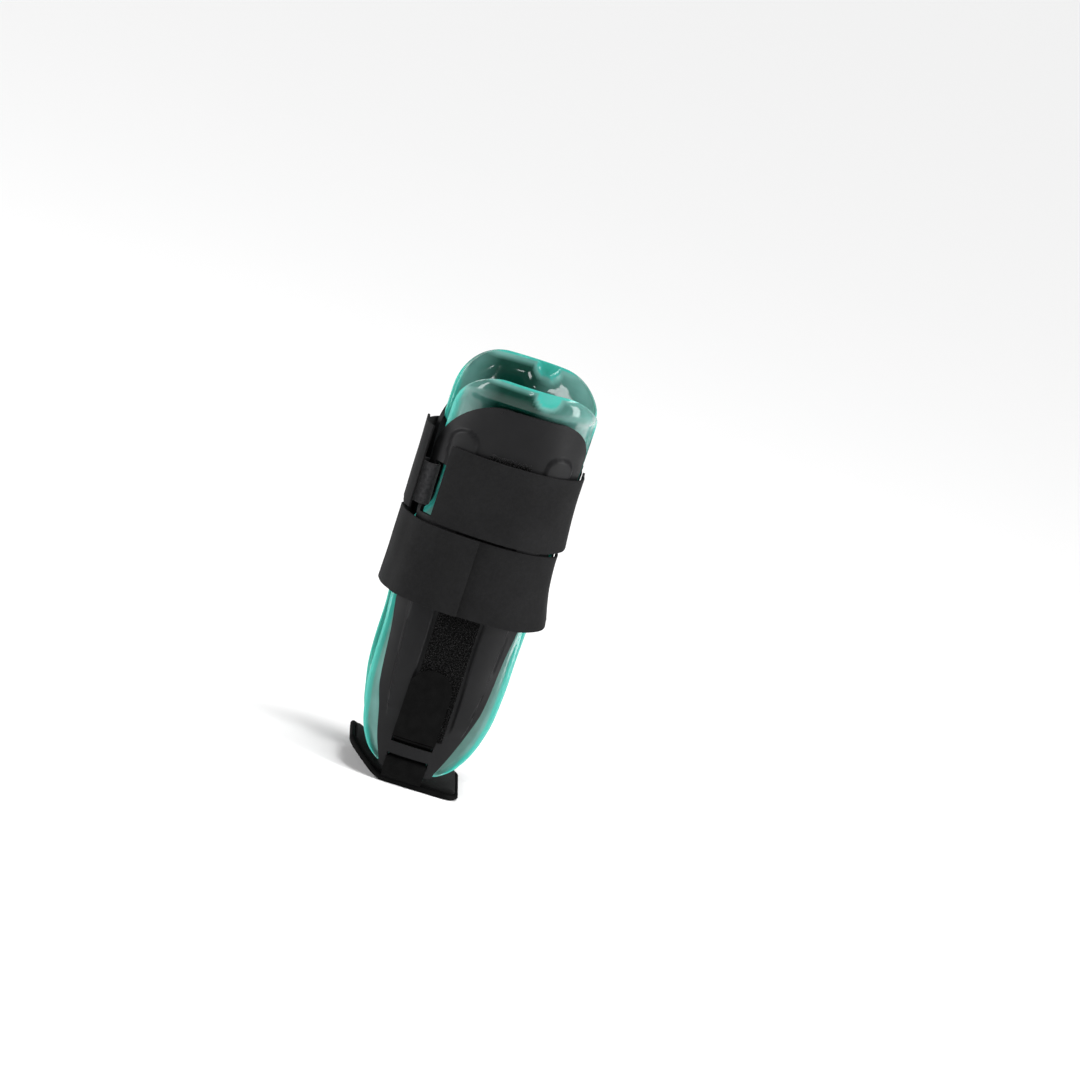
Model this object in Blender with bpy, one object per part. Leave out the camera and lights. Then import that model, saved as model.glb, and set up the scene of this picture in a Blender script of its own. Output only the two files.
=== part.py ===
"""Gel-lined stirrup ankle brace, closed as it is round a right ankle and standing on its heel pad.

+X points to the toes, -Y to the outer (lateral) side, +Z up the leg. The origin is the middle of the
heel pad's flat underside. Two mirror-twin moulded shells swing on the heel strap that passes under
the heel, and two wide straps close them round the shin.

Every piece of a side is a slab laid on one form, the leg form, at its own distance from it.
"""

import math

import bmesh
import bpy
from mathutils import Vector

MM = 0.001
LATERAL = -1
MEDIAL = 1
SIDES = {"lateral": LATERAL, "medial": MEDIAL}

# The leg form is the outer face of the shells, carried on all the way round the leg. Each row holds
# a height, how far the face stands out to the side, and how far to the front and back.
LEG_FORM = (
    (0, 38, 42),
    (30, 43, 46),
    (65, 48, 52),
    (100, 45.5, 52),
    (120, 45, 51),
    (170, 48, 51),
    (220, 52, 52),
    (290, 56, 53),
)
SQUARENESS = 2.3  # 2 is an ellipse, and more is squarer
MOST_OF_REACH = 0.985  # an edge is kept this far short of the leg's front-most and rear-most lines

# The shell's outline as seen from the side: height, half its width, and how far ahead its middle lies.
SHELL_OUTLINE = (
    (14, 18.3, -1.5),
    (28, 24, -1),
    (46, 29.5, 0),
    (62, 34, 0),
    (98, 37.5, 0),
    (120, 40.5, 0),
    (216, 46.5, 0),
    (260, 47, 0),
)
SHELL_BOTTOM = 10
SHELL_TOP = 256
SHELL_CORNER = 20
SHELL_REAR_CORNER = (38, 44)  # how far ahead and down the broad rear corner of the top reaches
SHELL_FOOT_CORNER = 4
SHELL_THICK = 2.6

# Two raised ribs stiffen each shell, one each side of a flat channel. Each row holds a height, how
# far a rib's middle lies from the channel's middle line, and half the rib's width.
CHANNEL_REAR = -13.2
CHANNEL_FRONT = 16.2
RIB_LINE = ((40, 20.5, 4), (60, 22, 5.5), (110, 23.8, 7.6), (226, 31, 8))
RIB_RAISED = 1.4
RIB_SLOPE = 3
RIB_FOOT = 40
RIB_TOP = 232
RIB_END = 8
SHELL_COLUMNS = (6, 3, 6)  # behind the channel, in it, and ahead of it
SHELL_ROWS = 16
CHANNEL_SHARE = 0.78  # the most of the shell's half width that the channel's edge takes near the foot

# Two slots at the shell's foot, one above the other, take the heel strap. One tall slot near the
# rear edge takes the upper strap's anchor loop.
HEEL_SLOTS = ((14.8, 20), (28, 34))
HEEL_SLOT_REAR = -16
HEEL_SLOT_FRONT = 11.6
REAR_SLOT_BACK = -42.5
REAR_SLOT_FRONT = -33
REAR_SLOT_LOW = 173
REAR_SLOT_HIGH = 208

# The gel pad stands beyond the shell by these margins: height, at the rear edge, at the front edge.
GEL_MARGIN = (
    (10, 3, 5),
    (28, 7, 10.5),
    (46, 7, 10.5),
    (62, 5, 8),
    (80, 3.7, 7),
    (100, 2, 5.5),
    (120, 0.5, 4),
    (216, -5.5, 2.5),
    (273, -6.4, 2),
)
GEL_BOTTOM = 11.5
GEL_TOP = 273
GEL_CORNER = 27
GEL_FOOT_CORNER = 8
GEL_FACE = -5.9
GEL_RIM_FACE = -3
GEL_RIM_THICK = 1.2
GEL_FILL = 8.2
GEL_SCALLOP = 10  # how far the rear edge is cut back to clear the rear slot
GEL_SCALLOP_HALF_HEIGHT = 36
GEL_SCALLOP_SHARPNESS = 2.4
GEL_SIDE_ROUND = 6  # higher powers keep the pad full nearer to its sides and ends
GEL_END_ROUND = 9
GEL_RIM_SHARPNESS = 4
GEL_COLUMNS = 10
GEL_ROWS = 15

BACKING_LAYER = (-5.1, -4.2)
BACKING_HEIGHTS = (42, 236)
BACKING_SHARE = 0.62  # of the shell's width
PATCH_LAYER = (-3.9, -3.2)
PATCH_HALF_WIDTH = 14
PATCH_HEIGHTS = {"upper": (150, 200), "lower": (62, 98)}

STRIP_LAYER = (0.3, 1.3)
STRIP_REAR = -12
STRIP_FRONT = 15
STRIP_LOW = 35.5
STRIP_HIGH = 224

# The heel strap's width and place, and its hook tab that folds up onto the loop strip.
HEEL_STRAP_REAR = -15.2
HEEL_STRAP_FRONT = 10.8
HEEL_STRAP_THICK = 1.5
HEEL_RISER_FREE = 6  # the height that the flat riser takes to fit the curved shell
# The riser's middle line above the swing axis, out over the foot of the shell, in through the lower
# slot, up inside and out through the upper slot: distance proud, and height.
HEEL_RISER_LINE = (
    (0.9, 7.5),
    (1.3, 11),
    (1.3, 15),
    (0.7, 16.7),
    (-2.4, 17.6),
    (-3.8, 19.4),
    (-3.8, 24),
    (-3.8, 28.4),
    (-2.4, 30.4),
    (0.4, 31.2),
)
TAB_HOOK_LAYER = (1.7, 2.2)
TAB_LAYER = (2.5, 3.9)
TAB_LOW = 32.9
TAB_HIGH = 81
TAB_HOOK_INSET = 4
TAB_TIP_TURN = 84  # degrees of the round end, which stops just short of a point
TAB_TIP_HALF_WIDTH = 0.8

# The shin straps, and the layers that they lie in where they cover the lateral side.
LOWER_STRAP = (119, 169.5)
UPPER_STRAP = (171.5, 222)
STRAP_THICK = 1.5
LOWER_FLARE = 6.5
UPPER_FLARE = 3
STRAP_FRONT_DIP = 4
STRAP_BACK_DIP = 1.5
STRAP_DIP_SPAN = 32  # degrees each side of the front and the back where a strap lies closer
STRAP_DIP_EASE = 26
STRAP_FRONT_RISE = 5
STRAP_RISE_SPAN = 60
UNDER_HOOK_LAYER = (1.6, 2.1)
UNDER_HOOK_SPAN = (-10, 12)
UNDER_LAYER = 2.4
OVER_HOOK_LAYER = (4.3, 4.7)
OVER_HOOK_SPAN = (-30, -3)
OVER_LAYER = 5
OVER_CLIMB_FROM = -60
OVER_CLIMB_SPAN = 20
BAND_LAYER = 1.9
BAND_TUCKED_LAYER = 0.4
BAND_TUCKED_SPAN = 12
BAND_FREED_SPAN = 14
STRAP_HOOK_INSET = 6
STRAP_STEP = 7.5

FRONT_LINE = 88  # degrees round from the side, where the lateral lengths of strap end
BAND_FIRST = 82
BAND_LAST = 278
UNDER_LAYER_END = -34
OVER_LAYER_END = -1
UPPER_END = -37.5

REAR_WING_HEIGHTS = (174, 229)
REAR_WING_EDGE = -56
REAR_WING_EDGE_PROUD = 6.5
REAR_WING_BACK_PROUD = 2.6
ANCHOR_HEIGHTS = (178, 205)
ANCHOR_THICK = 1.2
# The anchor loop's middle line round the bar behind the rear slot: degrees, and distance proud.
ANCHOR_LOOP = (
    (-62, 5),
    (-58, 3.9),
    (-54, 2.4),
    (-51.8, -0.2),
    (-51.8, -2.6),
    (-54.5, -4.9),
    (-59, -5.8),
    (-64.5, -5.4),
    (-70, -2.2),
    (-69.5, 1.4),
    (-66, 4),
)
ANCHOR_BAR = (-56.5, -1.3)

HEEL_PAD_REAR = -40
HEEL_PAD_FRONT = 35
HEEL_PAD_HALF_WIDTH = 36.5
HEEL_COVER_LAYER = (0, 1.6)
HEEL_STRAP_LAYER = (2.1, 3.4)
HEEL_CUSHION_LAYER = (3.7, 6.6)
HEEL_CURL_FROM = -14
HEEL_CURL_RISE = 16
HEEL_CURL_POWER = 1.5
HEEL_RIM_FROM = 24
HEEL_RIM_RISE = 3
HEEL_DRAWN_IN = 9  # how much narrower each side of the pad gets at its rear edge
HEEL_PAD_GRID = (16, 12)
HEEL_STRAP_GRID = (8, 6)

SWING_AXIS_OUT = 38.6
SWING_AXIS_HEIGHT = 4.6
TAB_AXIS_PROUD = 2.2
TAB_AXIS_HEIGHT = 32.1

MOULDED = ((0.035, 0.036, 0.038), 0.42)
WEBBING = ((0.022, 0.022, 0.024), 0.85)
HOOK = ((0.012, 0.012, 0.013), 0.95)
GEL = ((0.05, 0.42, 0.35), 0.2)
CUSHION = ((0.018, 0.018, 0.02), 0.9)


def clear_scene():
    for thing in list(bpy.data.objects):
        bpy.data.objects.remove(thing, do_unlink=True)


def new_collection(name):
    collection = bpy.data.collections.new(name)
    bpy.context.scene.collection.children.link(collection)
    return collection


clear_scene()
PARTS = new_collection("stirrup_ankle_brace")
CUTTERS = new_collection("cutters")
CUTTERS.hide_render = True


def along_table(rows, height, column):
    """One column of a table at this height, along a smooth curve through its rows."""
    heights = [row[0] for row in rows]
    values = [row[column] for row in rows]
    height = min(max(height, heights[0]), heights[-1])
    last = len(rows) - 1
    start = max(index for index in range(last) if heights[index] <= height)
    span = heights[start + 1] - heights[start]
    share = (height - heights[start]) / span

    def slope(index):
        before, after = max(index - 1, 0), min(index + 1, last)
        return (values[after] - values[before]) / (heights[after] - heights[before])

    square, cube = share**2, share**3
    return (
        (2 * cube - 3 * square + 1) * values[start]
        + (cube - 2 * square + share) * span * slope(start)
        + (3 * square - 2 * cube) * values[start + 1]
        + (cube - square) * span * slope(start + 1)
    )


def smooth_step(value):
    """0 below 0, 1 above 1, and an even slope between."""
    value = min(max(value, 0), 1)
    return value * value * (3 - 2 * value)


def on_form(side, degrees, height, proud):
    """A point round the leg: 0 degrees is the middle of the side, 90 the front and -90 the back."""
    sine, cosine = math.sin(math.radians(degrees)), math.cos(math.radians(degrees))
    power = 2 / SQUARENESS
    out = (along_table(LEG_FORM, height, 1) + proud) * math.copysign(abs(cosine) ** power, cosine)
    ahead = (along_table(LEG_FORM, height, 2) + proud) * math.copysign(abs(sine) ** power, sine)
    return Vector((ahead, side * out, height)) * MM


def degrees_at(ahead, height, proud=0):
    """The direction of the form's point that lies this far ahead of the middle of the leg."""
    reach = along_table(LEG_FORM, height, 2) + proud
    share = min(abs(ahead) / reach, MOST_OF_REACH)
    return math.copysign(math.degrees(math.asin(share ** (SQUARENESS / 2))), ahead)


def principled(name, look):
    colour, roughness = look
    material = bpy.data.materials.new(name)
    material.use_nodes = True
    shader = material.node_tree.nodes["Principled BSDF"]
    shader.inputs["Base Color"].default_value = (*colour, 1)
    shader.inputs["Roughness"].default_value = roughness
    shader.inputs["Metallic"].default_value = 0
    return material


def add_object(name, mesh, look, pivot):
    """Puts a finished bmesh in the scene as one named piece that follows its body's pivot."""
    mesh.normal_update()
    bmesh.ops.recalc_face_normals(mesh, faces=mesh.faces[:])
    data = bpy.data.meshes.new(name)
    mesh.to_mesh(data)
    mesh.free()
    data.shade_smooth()
    data.set_sharp_from_angle(angle=math.radians(40))
    data.materials.append(principled(name, look))
    piece = bpy.data.objects.new(name, data)
    PARTS.objects.link(piece)
    if pivot is not None:
        piece.parent = pivot
        piece.matrix_parent_inverse = pivot.matrix_world.inverted()
    return piece


def slab(name, pivot, look, columns, rows, corner):
    """A closed slab from a flat grid: corner(column, row, outer) places each of its points."""
    mesh = bmesh.new()
    bmesh.ops.create_grid(mesh, x_segments=columns, y_segments=rows, size=1)
    extruded = bmesh.ops.extrude_face_region(mesh, geom=mesh.faces[:])["geom"]
    for point in extruded:
        if isinstance(point, bmesh.types.BMVert):
            point.co.z = 1
    for point in mesh.verts:
        column = round((point.co.x + 1) / 2 * columns)
        row = round((point.co.y + 1) / 2 * rows)
        point.co = corner(column, row, point.co.z > 0)
    return add_object(name, mesh, look, pivot)


def ribbon(name, pivot, look, line, thick, rows, place):
    """A band of even thickness along a line of flat points: place(point, row) carries them to each row."""
    last = len(line) - 1

    def corner(column, row, outer):
        before, after = line[max(column - 1, 0)], line[min(column + 1, last)]
        across = Vector((before[1] - after[1], after[0] - before[0])).normalized()
        reach = thick / 2 if outer else -thick / 2
        point = Vector(line[column]) + across * reach
        return place(point, row)

    return slab(name, pivot, look, last, rows, corner)


def box_cutter(name, side, reach, heights):
    """A box that reaches through one shell's wall."""
    wall_near, wall_far = 12, 75
    mesh = bmesh.new()
    bmesh.ops.create_cube(mesh, size=1)
    for point in mesh.verts:
        ahead = reach[point.co.x > 0]
        out = side * (wall_far if point.co.y > 0 else wall_near)
        point.co = Vector((ahead, out, heights[point.co.z > 0])) * MM
    mesh.normal_update()
    bmesh.ops.recalc_face_normals(mesh, faces=mesh.faces[:])
    data = bpy.data.meshes.new(name)
    mesh.to_mesh(data)
    mesh.free()
    cutter = bpy.data.objects.new(name, data)
    CUTTERS.objects.link(cutter)
    cutter.hide_render = True
    cutter.display_type = "WIRE"
    return cutter


def cut(piece, cutter):
    modifier = piece.modifiers.new(cutter.name, "BOOLEAN")
    modifier.operation = "DIFFERENCE"
    modifier.object = cutter


def new_pivot(name, place, parent=None):
    """An empty on a joint's axis, which carries the pieces of one body."""
    pivot = bpy.data.objects.new(name, None)
    PARTS.objects.link(pivot)
    pivot.location = place
    bpy.context.view_layer.update()
    if parent is not None:
        pivot.parent = parent
        pivot.matrix_parent_inverse = parent.matrix_world.inverted()
        bpy.context.view_layer.update()
    return pivot


def rounded_rows(low, high, foot_corner, top_corner, steps, half_width):
    """Rows of an outline with rounded corners: (height, how much the corner takes off each edge)."""
    turns = 4
    rows = []
    for turn in range(turns + 1):
        angle = math.radians(90 * turn / turns)
        rows.append((low + foot_corner * (1 - math.cos(angle)), foot_corner * (1 - math.sin(angle))))
    straight_low, straight_high = low + foot_corner, high - top_corner
    for step in range(1, steps):
        rows.append((straight_low + (straight_high - straight_low) * step / steps, 0))
    for turn in range(turns + 1):
        angle = math.radians(90 * turn / turns)
        rows.append((straight_high + top_corner * math.sin(angle), top_corner * (1 - math.cos(angle))))
    return [(height, *half_width(height, taken)) for height, taken in rows]


def outline_edges(height, taken=0):
    half = along_table(SHELL_OUTLINE, height, 1) - taken
    middle = along_table(SHELL_OUTLINE, height, 2)
    return middle - half, middle + half


def shell_edges(height, taken=0):
    """The shell's edges, where the broad corner at the rear of its top takes off more than the others."""
    across, down = SHELL_REAR_CORNER
    share = max(height - (SHELL_TOP - down), 0) / down
    broad = across * (1 - math.sqrt(max(1 - share**2, 0)))
    rear, front = outline_edges(height, taken)
    return max(rear, outline_edges(height)[0] + broad), front


def gel_edges(height, taken):
    outline_rear, outline_front = outline_edges(height, taken)
    slot_middle = (REAR_SLOT_LOW + REAR_SLOT_HIGH) / 2
    nearness = 1 - abs(height - slot_middle) / GEL_SCALLOP_HALF_HEIGHT
    scallop = GEL_SCALLOP * smooth_step(nearness * GEL_SCALLOP_SHARPNESS)
    rear = outline_rear - along_table(GEL_MARGIN, height, 1) + scallop
    return rear, outline_front + along_table(GEL_MARGIN, height, 2)


def rib_raise(ahead, height):
    """How far the shell's outer face stands proud at a point, on either of its two ribs."""
    aside = abs(ahead - (CHANNEL_REAR + CHANNEL_FRONT) / 2)
    inside = along_table(RIB_LINE, height, 2) - abs(aside - along_table(RIB_LINE, height, 1))
    ends = smooth_step((RIB_TOP - height) / RIB_END) * smooth_step((height - RIB_FOOT) / RIB_END)
    return RIB_RAISED * smooth_step(inside / RIB_SLOPE + 0.5) * ends


def shell_ahead(column, rear, front):
    """Where a column of the shell's grid runs: some follow the edges, and some the channel."""
    channel_rear = max(CHANNEL_REAR, CHANNEL_SHARE * rear)
    channel_front = min(CHANNEL_FRONT, CHANNEL_SHARE * front)
    stations = (rear, channel_rear, channel_front, front)
    stretch, place = 0, column
    while place > SHELL_COLUMNS[stretch]:
        place -= SHELL_COLUMNS[stretch]
        stretch += 1
    start, end = stations[stretch], stations[stretch + 1]
    return start + (end - start) * place / SHELL_COLUMNS[stretch]


def make_shell(side_name, side, pivot):
    columns = sum(SHELL_COLUMNS)
    rows = rounded_rows(SHELL_BOTTOM, SHELL_TOP, SHELL_FOOT_CORNER, SHELL_CORNER, SHELL_ROWS, shell_edges)

    def corner(column, row, outer):
        height, rear, front = rows[row]
        ahead = shell_ahead(column, rear, front)
        proud = rib_raise(ahead, height) if outer else -SHELL_THICK
        return on_form(side, degrees_at(ahead, height), height, proud)

    shell = slab(f"{side_name}_shell", pivot, MOULDED, columns, len(rows) - 1, corner)
    for number, heights in enumerate(HEEL_SLOTS):
        name = f"{side_name}_heel_slot_{number}"
        cut(shell, box_cutter(name, side, (HEEL_SLOT_REAR, HEEL_SLOT_FRONT), heights))
    rear_slot = (REAR_SLOT_BACK, REAR_SLOT_FRONT)
    cut(shell, box_cutter(f"{side_name}_rear_slot", side, rear_slot, (REAR_SLOT_LOW, REAR_SLOT_HIGH)))


def make_gel_pad(side_name, side, pivot):
    rows = rounded_rows(GEL_BOTTOM, GEL_TOP, GEL_FOOT_CORNER, GEL_CORNER, GEL_ROWS, gel_edges)
    last_row = len(rows) - 1

    def corner(column, row, outer):
        height, rear, front = rows[row]
        ahead = rear + (front - rear) * column / GEL_COLUMNS
        across = 2 * column / GEL_COLUMNS - 1
        upward = 2 * row / last_row - 1
        full = (1 - abs(across) ** GEL_SIDE_ROUND) * (1 - abs(upward) ** GEL_END_ROUND)
        face = GEL_RIM_FACE + (GEL_FACE - GEL_RIM_FACE) * smooth_step(GEL_RIM_SHARPNESS * full)
        proud = face if outer else face - GEL_RIM_THICK - GEL_FILL * full
        return on_form(side, degrees_at(ahead, height, GEL_FACE), height, proud)

    slab(f"{side_name}_gel_pad", pivot, GEL, GEL_COLUMNS, last_row, corner)


def make_flat_patch(name, side, pivot, look, edges, heights, layer, columns, rows):
    """A thin patch that follows the form between two edges and two heights."""

    def corner(column, row, outer):
        height = heights[0] + (heights[1] - heights[0]) * row / rows
        rear, front = edges(height)
        ahead = rear + (front - rear) * column / columns
        return on_form(side, degrees_at(ahead, height), height, layer[outer])

    slab(name, pivot, look, columns, rows, corner)


def make_shell_lining(side_name, side, pivot):
    """The hook patches inside the shell, and the loop backing of the gel pad that they hold."""
    for level, heights in PATCH_HEIGHTS.items():
        make_flat_patch(
            f"{side_name}_{level}_hook_patch", side, pivot, HOOK,
            lambda height: (-PATCH_HALF_WIDTH, PATCH_HALF_WIDTH), heights, PATCH_LAYER, 6, 4,
        )

    def backing_edges(height):
        rear, front = outline_edges(height)
        return BACKING_SHARE * rear, BACKING_SHARE * front

    make_flat_patch(
        f"{side_name}_pad_backing", side, pivot, WEBBING,
        backing_edges, BACKING_HEIGHTS, BACKING_LAYER, 8, 12,
    )


def make_loop_strip(side_name, side, pivot):
    make_flat_patch(
        f"{side_name}_loop_strip", side, pivot, HOOK,
        lambda height: (STRIP_REAR, STRIP_FRONT), (STRIP_LOW, STRIP_HIGH), STRIP_LAYER, 6, 14,
    )


def heel_riser_line():
    """The heel strap's middle line from the pad's edge up through the two slots: (proud, height)."""
    start = SWING_AXIS_OUT - along_table(LEG_FORM, SWING_AXIS_HEIGHT, 1)
    return [(start, SWING_AXIS_HEIGHT), *HEEL_RISER_LINE]


def make_heel_riser(side_name, side, pivot):
    rows = 6

    def place(point, row):
        ahead = HEEL_STRAP_REAR + (HEEL_STRAP_FRONT - HEEL_STRAP_REAR) * row / rows
        curved = on_form(side, degrees_at(ahead, point.y), point.y, point.x)
        flat = Vector((ahead, side * (along_table(LEG_FORM, point.y, 1) + point.x), point.y)) * MM
        return flat.lerp(curved, smooth_step((point.y - SWING_AXIS_HEIGHT) / HEEL_RISER_FREE))

    line = heel_riser_line()
    ribbon(f"{side_name}_heel_strap_riser", pivot, WEBBING, line, HEEL_STRAP_THICK, rows, place)


def make_heel_tab(side_name, side, pivot):
    """The strap's end, a round-ended hook tab folded up onto the loop strip."""
    columns = 6
    turns = 6
    middle = (HEEL_STRAP_REAR + HEEL_STRAP_FRONT) / 2
    half = (HEEL_STRAP_FRONT - HEEL_STRAP_REAR) / 2
    shoulder = TAB_HIGH - half
    rows = [(TAB_LOW + (shoulder - TAB_LOW) * step / turns, half) for step in range(turns)]
    for turn in range(turns):
        angle = math.radians(TAB_TIP_TURN * turn / (turns - 1))
        rows.append((shoulder + half * math.sin(angle), half * math.cos(angle)))

    def tab_part(name, look, layer, inset, low_rows):
        kept = rows[low_rows:]

        def corner(column, row, outer):
            height, reach = kept[row]
            half_width = max(reach - inset, TAB_TIP_HALF_WIDTH)
            ahead = middle + half_width * (2 * column / columns - 1)
            return on_form(side, degrees_at(ahead, height), height, layer[outer])

        slab(name, pivot, look, columns, len(kept) - 1, corner)

    tab_part(f"{side_name}_heel_tab", WEBBING, TAB_LAYER, 0, 0)
    tab_part(f"{side_name}_heel_tab_hook", HOOK, TAB_HOOK_LAYER, TAB_HOOK_INSET, 1)


def make_strap_length(
    name, pivot, span, heights, most_flare, layer, look=WEBBING, thick=STRAP_THICK, inset=0
):
    """A length of strap between two directions round the leg, laid where layer(degrees, lean) says."""
    first, last = span
    columns = max(2, math.ceil(abs(last - first) / STRAP_STEP))
    rows = 2

    def corner(column, row, outer):
        degrees = first + (last - first) * column / columns
        low, high = heights[0] + front_rise(degrees), heights[1]
        height = low + inset + (high - low - 2 * inset) * row / rows
        down = (high - height) / (high - low)
        proud = layer(degrees, flare(degrees, down, most_flare))
        return on_form(LATERAL, degrees, height, proud + (thick if outer else 0))

    slab(name, pivot, look, columns, rows, corner)


def flare(degrees, down, most):
    """A closed strap stands off towards its bottom edge, where down is 1, and most at the front."""
    return most * down**2 * (1 + math.sin(math.radians(degrees))) / 2


def strap_dip(degrees):
    """A strap lies closer right across the front and the back of the leg, past the shells' edges."""
    from_front = abs(degrees - 90)
    from_back = min(abs(degrees + 90), abs(degrees - 270))
    at_front = smooth_step((STRAP_DIP_SPAN - from_front) / STRAP_DIP_EASE)
    at_back = smooth_step((STRAP_DIP_SPAN - from_back) / STRAP_DIP_EASE)
    return STRAP_FRONT_DIP * at_front + STRAP_BACK_DIP * at_back


def front_rise(degrees):
    """A strap's bottom edge rises a little towards the front of the leg."""
    return STRAP_FRONT_RISE * smooth_step(1 - abs(degrees - 90) / STRAP_RISE_SPAN)


def under_layer(degrees, lean):
    return UNDER_LAYER + lean - strap_dip(degrees)


def over_layer(degrees, lean):
    """The lower strap's end lies close at the back and climbs over the length under it."""
    climbed = smooth_step((degrees - OVER_CLIMB_FROM) / OVER_CLIMB_SPAN)
    return UNDER_LAYER + (OVER_LAYER - UNDER_LAYER) * climbed + lean - strap_dip(degrees)


def band_layer(degrees, lean):
    """The straps lie over the medial shell, and dip under the lateral lengths at both ends."""
    from_end = min(degrees - BAND_FIRST, BAND_LAST - degrees)
    freed = smooth_step((from_end - BAND_TUCKED_SPAN) / BAND_FREED_SPAN)
    free_layer = BAND_LAYER - BAND_TUCKED_LAYER + lean
    return BAND_TUCKED_LAYER + free_layer * freed - strap_dip(degrees)


def rear_wing_layer(degrees, lean):
    """The upper strap stands off the shell's rear edge and closes in towards the back of the leg."""
    share = (degrees + FRONT_LINE) / (REAR_WING_EDGE + FRONT_LINE)
    lifted = (REAR_WING_EDGE_PROUD - REAR_WING_BACK_PROUD) * smooth_step(share)
    return REAR_WING_BACK_PROUD + lifted + lean - strap_dip(degrees)


def strap_hook(name, pivot, span, heights, most_flare, layer):
    """The hook tape sewn inside a strap, with its inner face at layer[0] and its outer at layer[1]."""
    make_strap_length(
        name, pivot, span, heights, most_flare, lambda degrees, lean: layer[0] + lean,
        look=HOOK, thick=layer[1] - layer[0], inset=STRAP_HOOK_INSET,
    )


def make_anchor_loop(pivot):
    """The upper strap's loop round the bar behind the shell's rear slot, leaning as the bar does."""

    def flat(degrees, proud):
        point = on_form(LATERAL, degrees, ANCHOR_HEIGHTS[0], proud) / MM
        return point.x, point.y

    line = [flat(degrees, proud) for degrees, proud in ANCHOR_LOOP]

    def bar(height):
        return on_form(LATERAL, ANCHOR_BAR[0], height, 0)

    def place(point, row):
        lean = bar(ANCHOR_HEIGHTS[row]) - bar(ANCHOR_HEIGHTS[0])
        return Vector((point.x, point.y, ANCHOR_HEIGHTS[0])) * MM + lean

    ribbon("upper_strap_anchor_loop", pivot, WEBBING, line, ANCHOR_THICK, 1, place)


def make_straps(pivots):
    lateral, medial = pivots["lateral_frame"], pivots["medial_frame"]
    lower_end, upper_end = pivots["lower_strap_end"], pivots["upper_strap_end"]
    rear = pivots["upper_strap_rear"]
    band, under, over = (BAND_FIRST, BAND_LAST), (UNDER_LAYER_END, FRONT_LINE), (-FRONT_LINE, OVER_LAYER_END)
    upper, wing = (UPPER_END, FRONT_LINE), (-FRONT_LINE, REAR_WING_EDGE)
    for name, pivot, span, heights, most_flare, layer in (
        ("lower_strap_band", medial, band, LOWER_STRAP, LOWER_FLARE, band_layer),
        ("upper_strap_band", medial, band, UPPER_STRAP, UPPER_FLARE, band_layer),
        ("lower_strap_under_length", lateral, under, LOWER_STRAP, LOWER_FLARE, under_layer),
        ("lower_strap_end", lower_end, over, LOWER_STRAP, LOWER_FLARE, over_layer),
        ("upper_strap_end", upper_end, upper, UPPER_STRAP, UPPER_FLARE, under_layer),
        ("upper_strap_rear_wing", rear, wing, REAR_WING_HEIGHTS, 0, rear_wing_layer),
    ):
        make_strap_length(name, pivot, span, heights, most_flare, layer)
    make_anchor_loop(rear)
    for name, pivot, span, heights, most_flare, layer in (
        ("lower_strap_end_hook", lower_end, OVER_HOOK_SPAN, LOWER_STRAP, LOWER_FLARE, OVER_HOOK_LAYER),
        ("lower_strap_under_hook", lateral, UNDER_HOOK_SPAN, LOWER_STRAP, 0, UNDER_HOOK_LAYER),
        ("upper_strap_end_hook", upper_end, UNDER_HOOK_SPAN, UPPER_STRAP, 0, UNDER_HOOK_LAYER),
    ):
        strap_hook(name, pivot, span, heights, most_flare, layer)


def heel_behind(ahead):
    """0 where the heel pad lies flat, and 1 at its rear edge."""
    return max(HEEL_CURL_FROM - ahead, 0) / (HEEL_CURL_FROM - HEEL_PAD_REAR)


def heel_pad_point(ahead, out, layer):
    """A point of the pad in one of its layers, squarely off the underside where that curls."""
    steep = HEEL_CURL_RISE * HEEL_CURL_POWER / (HEEL_CURL_FROM - HEEL_PAD_REAR)
    slope = steep * heel_behind(ahead) ** (HEEL_CURL_POWER - 1)
    length = math.hypot(1, slope)
    height = heel_pad_floor(ahead, out) + layer / length
    return Vector((ahead + layer * slope / length, out, height)) * MM


def heel_pad_floor(ahead, out):
    """How far the pad's underside rises at a point: it curls up behind the heel and along its edges."""
    behind = heel_behind(ahead)
    aside = max(abs(out) - HEEL_RIM_FROM, 0) / (HEEL_PAD_HALF_WIDTH - HEEL_RIM_FROM)
    return HEEL_CURL_RISE * behind**HEEL_CURL_POWER + HEEL_RIM_RISE * smooth_step(behind) * aside**2


def make_heel_pad_layer(name, pivot, look, layer, inset):
    """One layer of the pad. Its plan is a rectangle with the rear corners drawn in."""
    columns, rows = HEEL_PAD_GRID

    def corner(column, row, outer):
        ahead = HEEL_PAD_REAR + inset + (HEEL_PAD_FRONT - HEEL_PAD_REAR - 2 * inset) * column / columns
        half = HEEL_PAD_HALF_WIDTH - inset - HEEL_DRAWN_IN * heel_behind(ahead) ** 2
        out = half * (2 * row / rows - 1)
        return heel_pad_point(ahead, out, layer[outer])

    slab(name, pivot, look, columns, rows, corner)


def make_heel_stirrup():
    make_heel_pad_layer("heel_pad_cover", None, CUSHION, HEEL_COVER_LAYER, 0)
    make_heel_pad_layer("heel_pad_cushion", None, CUSHION, HEEL_CUSHION_LAYER, 1)
    make_heel_strap_base()


def make_heel_strap_base():
    """The length of strap under the heel, between the pad's cover and its cushion."""
    columns, rows = HEEL_STRAP_GRID

    def corner(column, row, outer):
        ahead = HEEL_STRAP_REAR + (HEEL_STRAP_FRONT - HEEL_STRAP_REAR) * column / columns
        out = HEEL_PAD_HALF_WIDTH * (2 * row / rows - 1)
        return heel_pad_point(ahead, out, HEEL_STRAP_LAYER[outer])

    slab("heel_strap_base", None, WEBBING, columns, rows, corner)


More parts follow.
